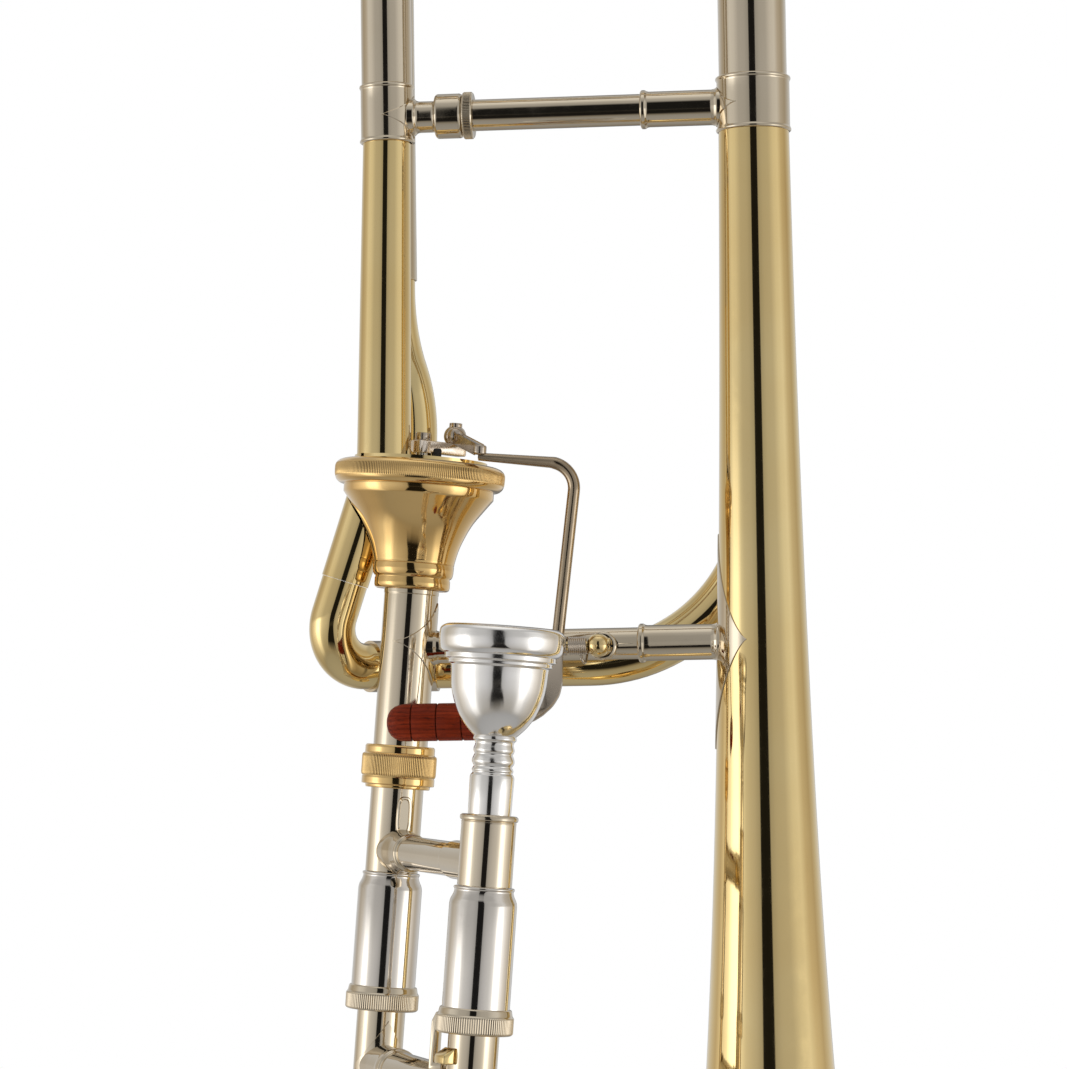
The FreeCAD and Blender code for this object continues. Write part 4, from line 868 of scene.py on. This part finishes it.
def make_barrels():
    """Cork barrels, their rings, the slide lock and the receiver."""
    bm = bmesh.new()
    for place in (SLIDE, MOUTH):
        outline = [(7.24, -136.55), (9.0, -136.55), (9.45, -136.8), (9.5, -137.2), (9.2, -137.6),
                   (9.15, -138.1), (9.5, -139.2), (10.1, -140.4), (10.35, -141.1),
                   (10.5, -142.2), (10.5, -175.9), (9.6, -175.9), (9.6, -181.3), (9, -181.3),
                   (9, -141.5), (7.24, -139.5)]
        lathe(bm, soften(outline, 0.2), place, 128)
    piece("cork_barrels_drawn", bm, "cork_barrels", look=SLEEVE_METAL)
    ring = soften([(9.7, -181.8), (11.3, -181.8), (12, -181.2), (12, -176.5), (11.75, -176.1),
                   (11.5, -175.8), (11.15, -174.0), (10.6, -173.7), (10.6, -176.0),
                   (9.7, -176.0)], 0.35)
    teeth = (96, -181.35, -176.4, 0.18)
    turned("barrel_ring_knurled", "barrel_knurled_ring", ring, SLIDE, knurl=teeth, sharp=60)

    bm = bmesh.new()
    lathe(bm, ring, MOUTH, knurl=teeth)
    low, arm_side, catch_side = -194.0, 160, 215
    arm = [(10.9, 0), (14.0, 0), (14.0, 15.0), (12.6, 18.0), (11.4, 18.0), (11.4, 12.6),
           (12.2, 12.0), (12.2, 2.6), (11.7, 2.2), (9.4, 2.2), (9.4, 0)]
    slab(bm, soften(arm, 0.5), 4.4,
         MOUTH @ turn(arm_side, "Z") @ move(0, 2.2, low) @ turn(90, "X"), 0.35)
    piece("slide_lock_ring_knurled", bm, "slide_lock_ring", sharp=50)

    bm = bmesh.new()
    wedge = [(7.8, 0), (11.6, 0), (11.6, 2.6), (7.8, 5.2)]
    slab(bm, soften(wedge, 0.6), 6.4,
         MOUTH @ turn(catch_side, "Z") @ move(0, 3.2, low + 2.7) @ turn(90, "X"), 0.4)
    piece("lock_catch_filed", bm, "lock_catch", sharp=50)

    wide = RECEIVER_RADIUS
    outline = [(7.25, -136.4), (wide, -136.4), (wide, -117.0), (wide + 0.1, -116.7),
               (wide - 0.12, -116.4), (wide + 0.5, -116.0), (wide + 0.6, -115.4),
               (wide + 0.5, -114.8), (wide - 0.1, -114.4), (6.95, -114.4), (6.4, -132.9),
               (7.25, -132.95)]
    turned("mouthpiece_receiver_turned", "mouthpiece_receiver", soften(outline, 0.15), MOUTH)


def brace_frame(depth):
    """Frame on a handslide brace: +Z from the neck side across to the mouthpiece side."""
    return SLIDE @ move(z=-depth) @ turn(ACROSS, "Z") @ turn(90, "Y")


def make_slide_braces():
    """Grip brace, and the outer brace with its flanges."""
    bm = bmesh.new()
    outline = [(CORE, 0), (7.4, 0), (7.3, 9.6), (6.9, 11.6), (6.5, 13.6), (6.35, 16.6),
               (6.35, 18.6), (6.0, 19.1), (5.5, 19.4), (5.5, 60.6), (6.1, 61.2), (6.1, SPACING),
               (CORE, SPACING)]
    fitted_bar(bm, soften(outline, 0.5), brace_frame(129.5), TENON_RADIUS, RECEIVER_RADIUS,
               SPACING)
    piece("grip_brace_cast", bm, "grip_brace")

    bm = bmesh.new()
    outline = mirrored([(CORE, 0), (7.6, 0), (7.3, 9.2), (7.3, 18.2), (7.4, 18.8),
                        (7.3, 21.0), (6.5, 21.6)], SPACING)
    fitted_bar(bm, soften(outline, 0.4), brace_frame(OUTER_BRACE_DEPTH), OUTER_TUBE_RADIUS,
               OUTER_TUBE_RADIUS, SPACING)
    for place, heading in ((SLIDE, ACROSS), (MOUTH, ACROSS + 180)):
        flange(bm, lambda z: OUTER_TUBE_RADIUS + SEAM, 88, 15,
               place @ move(z=-OUTER_BRACE_DEPTH) @ turn(heading, "Z"))
    piece("outer_brace_cast", bm, "outer_brace")


def make_long_slide():
    """Tubes, bow, ferrules and rubber tip of the handslide."""
    bm = bmesh.new()
    for place in (SLIDE, MOUTH):
        lathe(bm, pipe_outline(OUTER_TUBE_RADIUS, 7.3, BOW_LEVEL + 0.1, -152), place, 96)
    piece("outer_slide_tubes_drawn", bm, "outer_slide_tubes")
    bm = bmesh.new()
    for place, top in ((SLIDE, -136.6), (MOUTH, -133)):
        lathe(bm, pipe_outline(7.22, 6.9, -825, top), place, 80)
    piece("inner_slide_tubes_drawn", bm, "inner_slide_tubes")

    half = SPACING / 2
    arch = [Vector((half * cos(a), 0, -half * sin(a)))
            for a in (pi * i / 48 for i in range(49))]
    bm = bmesh.new()
    hollow_bar(bm, arch, 8.1, 7.3, BOW, 72)
    piece("slide_bow_bent", bm, "slide_bow")
    bm = bmesh.new()
    for place in (SLIDE, MOUTH):
        outline = [(7.92, 0.3), (9.0, 0.3), (9.5, 1.2), (9.1, 2), (8.9, 3), (8.9, 12.6),
                   (9.3, 13.6), (9.3, 14.2), (8.8, 15), (7.92, 15)]
        lathe(bm, soften(outline, 0.3), place @ move(z=BOW_LEVEL))
    piece("slide_bow_ferrules_turned", bm, "slide_bow_ferrules")
    outline = [(CORE, -16.9), (2.6, -16.9), (4.0, -16.0), (4.6, -14.2), (4.6, -12.6),
               (4.1, -11.9), (4.6, -11.2), (4.6, -7.2), (CORE, -7.2)]
    turned("slide_bumper_moulded", "slide_bumper", soften(outline, 0.4),
           BOW @ move(z=-half), 64)


def make_water_key():
    """Key blade bent up to a finger plate, with the pad cup and the hinge barrel."""
    half, over = SPACING / 2, 16
    rise = asin(over / half)
    place = (BOW @ move(over, 0, -half * cos(rise)) @ turn(-degrees(rise), "Y")
             @ turn(90, "X"))
    widths = [(-4.1, 0.5), (-3.8, 1.6), (-2.9, 3.0), (-1.4, 3.95), (0, 4.2), (1.4, 3.95),
              (2.9, 3.1), (4.4, 2.2), (7, 1.8), (11, 1.9), (16, 2.1), (21, 2.5), (25, 3.1),
              (28, 3.15), (29.8, 2.5), (30.7, 1.5), (31, 0.5)]
    bm = bmesh.new()
    rings = []
    for x, width in flowing(widths, 4):
        centre = 13.6 + 0.012 * max(0, x - 17) ** 2  # the blade bends up beyond x 17
        ring = []
        for k in range(28):
            across, up = cos(pi * (k + 0.5) / 14), sin(pi * (k + 0.5) / 14)
            y, z = squared(across, 0.4) * width, squared(up, 0.4) * 0.8
            ring.append(bm.verts.new(place @ Vector((x * MM, y * MM, (centre + z) * MM))))
        rings.append(ring)
    capped(bm, rings)
    cup = [(CORE, 12.78), (3.9, 12.78), (4.25, 13.1), (4.25, 13.9), (3.6, 14.5), (2.0, 14.8),
           (CORE, 14.9)]
    lathe(bm, soften(cup, 0.2), place, 64)
    lathe(bm, pipe_outline(2.1, 0.97, -3.5, 3.5, 0.3),
          place @ move(14, 0, 11.2) @ turn(-90, "X"), 48)
    piece("water_key_filed", bm, "water_key_lever", sharp=40)


def make_mouthpiece():
    """Silver-plated cup with its banded rim, turned waist and tapered shank."""
    rim = flowing([(12.9, -61), (13.2, -58.8), (14.3, -57.0), (16.2, -56.05), (17.9, -56.4),
                   (19.1, -57.4), (19.45, -58.8), (19.45, -61.2), (19.1, -63.2), (18.3, -64.4),
                   (17.35, -65.1)], 5)
    bands = soften([(17.35, -65.1), (17.35, -66.5), (16.25, -66.9), (16.25, -68.0),
                    (15.25, -68.5), (15.1, -70.0)], 0.25, closed=False)
    bowl = flowing([(15.1, -70.0), (14.9, -73), (14.4, -76.5), (13.4, -80), (11.9, -83.6),
                    (9.9, -86.6), (7.9, -88.8), (6.6, -90.0)], 5)
    waist = flowing([(6.6, -90.0), (6.75, -90.5), (6.75, -91.1), (6.15, -91.7), (5.95, -92.6),
                     (6.25, -93.6), (6.4, -94.3), (6.2, -95.0), (5.9, -95.6), (6.2, -96.3),
                     (6.55, -97.3), (6.55, -98.2), (6.1, -99.1), (5.95, -99.5), (6.3, -100.1),
                     (6.45, -100.7), (6.2, -101.2), (6.25, -101.6), (6.75, -102.2),
                     (6.9, -102.9)], 4)
    shank = [(6.75, -112), (6.2, -131.4), (6.0, -131.6), (5.2, -131.5)]
    throat = flowing([(5.2, -131.5), (4.2, -116), (3.4, -104), (3.4, -96), (5.0, -89),
                      (9.5, -82), (12, -74), (12.7, -66), (12.9, -61)], 5)
    turned("mouthpiece_turned", "mouthpiece",
           rim[:-1] + bands[:-1] + bowl[:-1] + waist + shank[:-1] + throat[:-1], MOUTH, 144,
           sharp=48)


# ---- Light, floor and camera ----

LOOK_TURN = radians(6.5)
FRONT = Vector((sin(LOOK_TURN), -cos(LOOK_TURN), 0))
RIGHT = Vector((cos(LOOK_TURN), sin(LOOK_TURN), 0))


def make_light():
    """Soft studio: tall banks of light, greyer walls, a dark gap in front with a wider foot.

    Bearings are shares of a half turn away from the gap; heights are sines of elevation.
    """
    world = bpy.data.worlds.new("studio")
    bpy.context.scene.world = world
    studio = Graph(world)

    def result(operation, *inputs, kind="ShaderNodeMath"):
        node = studio.add(kind, {"operation": operation})
        for socket, value in zip(node.inputs, inputs):
            studio.give(socket, value)
        return node.outputs["Value"]

    def ramp(value, stops):
        new = studio.add("ShaderNodeValToRGB", Fac=value)
        band = new.color_ramp
        while len(band.elements) < len(stops):
            band.elements.new(0.5)
        for element, (where, level) in zip(band.elements, stops):
            element.position = where
            element.color = (*(level if isinstance(level, tuple) else [level] * 3), 1)
        return new.outputs["Color"]

    heading = studio.add("ShaderNodeTexCoord").outputs["Generated"]
    across = result("DOT_PRODUCT", heading, RIGHT, kind="ShaderNodeVectorMath")
    ahead = result("DOT_PRODUCT", heading, FRONT, kind="ShaderNodeVectorMath")
    bearing = result("ADD", result("ARCTAN2", across, ahead), radians(4.8))
    swing = result("DIVIDE", result("ABSOLUTE", bearing), pi)
    height = studio.add("ShaderNodeSeparateXYZ", Vector=heading).outputs["Z"]

    gap = [(0.0, 0.012), (0.0555, 0.014)]
    low_wall = ramp(swing, gap + [
        (0.0645, 0.42), (0.12, (0.56, 0.56, 0.57)), (0.24, 0.74), (0.30, 1.0), (0.36, 2.3),
        (0.43, 2.1), (0.48, 1.25), (0.56, (0.90, 0.85, 0.78)), (0.66, (0.58, 0.53, 0.46)),
        (0.80, 0.66), (0.92, 0.72), (0.98, 0.2)])
    high_wall = ramp(swing, gap + [
        (0.0645, 0.40), (0.14, 0.50), (0.26, 0.54), (0.36, 0.74), (0.45, 0.80),
        (0.54, (0.60, 0.56, 0.50)), (0.66, (0.48, 0.43, 0.35)), (0.80, 0.62), (0.92, 0.70),
        (0.98, 0.2)])
    climb = studio.span(result("MULTIPLY_ADD", across, 0.048, height), 0.015, 0.085)
    wall = studio.blend(studio.span(height, -0.15, -0.80),
                        studio.blend(climb, low_wall, high_wall), (0.32, 0.295, 0.255))
    beside = studio.span(result("MULTIPLY_ADD", height, 0.167, swing), 0.0185, 0.0095)
    foot = result("MULTIPLY", beside, studio.span(height, -0.20, -0.27))
    foot = result("MULTIPLY", foot, studio.span(height, -0.70, -0.55))
    wall = studio.blend(foot, wall, (0.014, 0.013, 0.012))

    rise = studio.span(height, -1.0, 1.0)
    sky = ramp(rise, [(0.0, 0.42), (0.12, 0.36), (0.5, 0.3), (0.80, 0.40), (0.93, 0.55),
                      (1.0, 1.0)])
    overhead = ramp(rise, [(0.0, 1.0), (0.10, 1.0), (0.16, 0.0), (0.78, 0.0), (0.86, 1.0)])
    lit = studio.add("ShaderNodeBackground", Color=studio.blend(overhead, wall, sky))
    seen = studio.add("ShaderNodeBackground", Color=(1.0, 1.0, 1.0, 1.0))
    pick = studio.add("ShaderNodeMixShader")
    for socket, value in zip(pick.inputs, (
            studio.add("ShaderNodeLightPath").outputs["Is Camera Ray"], lit.outputs[0],
            seen.outputs[0])):
        studio.give(socket, value)
    studio.add("ShaderNodeOutputWorld", Surface=pick.outputs[0])


def make_floor():
    """Plain disc as low as the slide reaches at full travel, left out of reflections."""
    look = Finish("floor_paper")
    tone = look.blend(look.span(look.noise(3, 3), 0.3, 0.7), (0.95, 0.945, 0.93),
                      (0.92, 0.915, 0.90))
    look.surface(Base_Color=tone, Roughness=0.75,
                 Normal=look.bump(look.noise(420, 4), 0.0002, 0.3))
    travel = next(joint["range_m"][1] for joint in frame["record"]["behaviour"]["joints"]
                  if joint["name"] == "slide_positions")
    clearance = 0.0005
    low = CAD_BOX[0].z - travel - clearance
    angles = [pi * k / 32 for k in range(64)]
    bm = bmesh.new()
    rings = [[bm.verts.new((r * cos(a), r * sin(a), low)) for a in angles]
             for r in (0.4, 1.2, 3.0)]
    skin(bm, rings, False)
    bm.faces.new(rings[0])
    floor = placed("floor", bm, look.material)
    floor.visible_glossy = False


def make_camera():
    """Long lens a little under 1.3 m away, level with the valve and looking up slightly."""
    pitch, roll = radians(3.83), radians(-0.80)
    rise = Vector((0, 0, 1))
    ahead = -FRONT * cos(pitch) + rise * sin(pitch)
    upward = FRONT * sin(pitch) + rise * cos(pitch)
    right = RIGHT * cos(roll) + upward * sin(roll)
    up = upward * cos(roll) - RIGHT * sin(roll)
    data = bpy.data.cameras.new("camera")
    data.sensor_width = 36.0
    data.lens = 133.5
    data.clip_start, data.clip_end = 0.05, 50.0
    camera = bpy.data.objects.new("camera", data)
    distance, aside, eye_height = 1.290, 0.07415, 0.335
    camera.matrix_world = Matrix.Translation(
        FRONT * distance - RIGHT * aside + rise * eye_height) @ (
            Matrix((right, up, -ahead)).transposed().to_4x4())
    bpy.context.scene.collection.objects.link(camera)
    bpy.context.scene.camera = camera


make_camera()
make_light()
make_floor()
carry_over()
make_bell()
make_leg_parts()
make_tuning_slide("main_slide", -LEG_SPACING, 0, 0, 7.9, 10.6, 582, 660)
make_tuning_slide("f_slide", F_NECK_X, F_BELL_X, F_Y, 7.85, 7.85, 580, 655)
make_braces()
make_valve()
make_linkage()
make_lever()
make_neck_side()
make_barrels()
make_slide_braces()
make_long_slide()
make_water_key()
make_mouthpiece()

bpy.context.scene.view_settings.view_transform = "Standard"
bpy.context.view_layer.update()
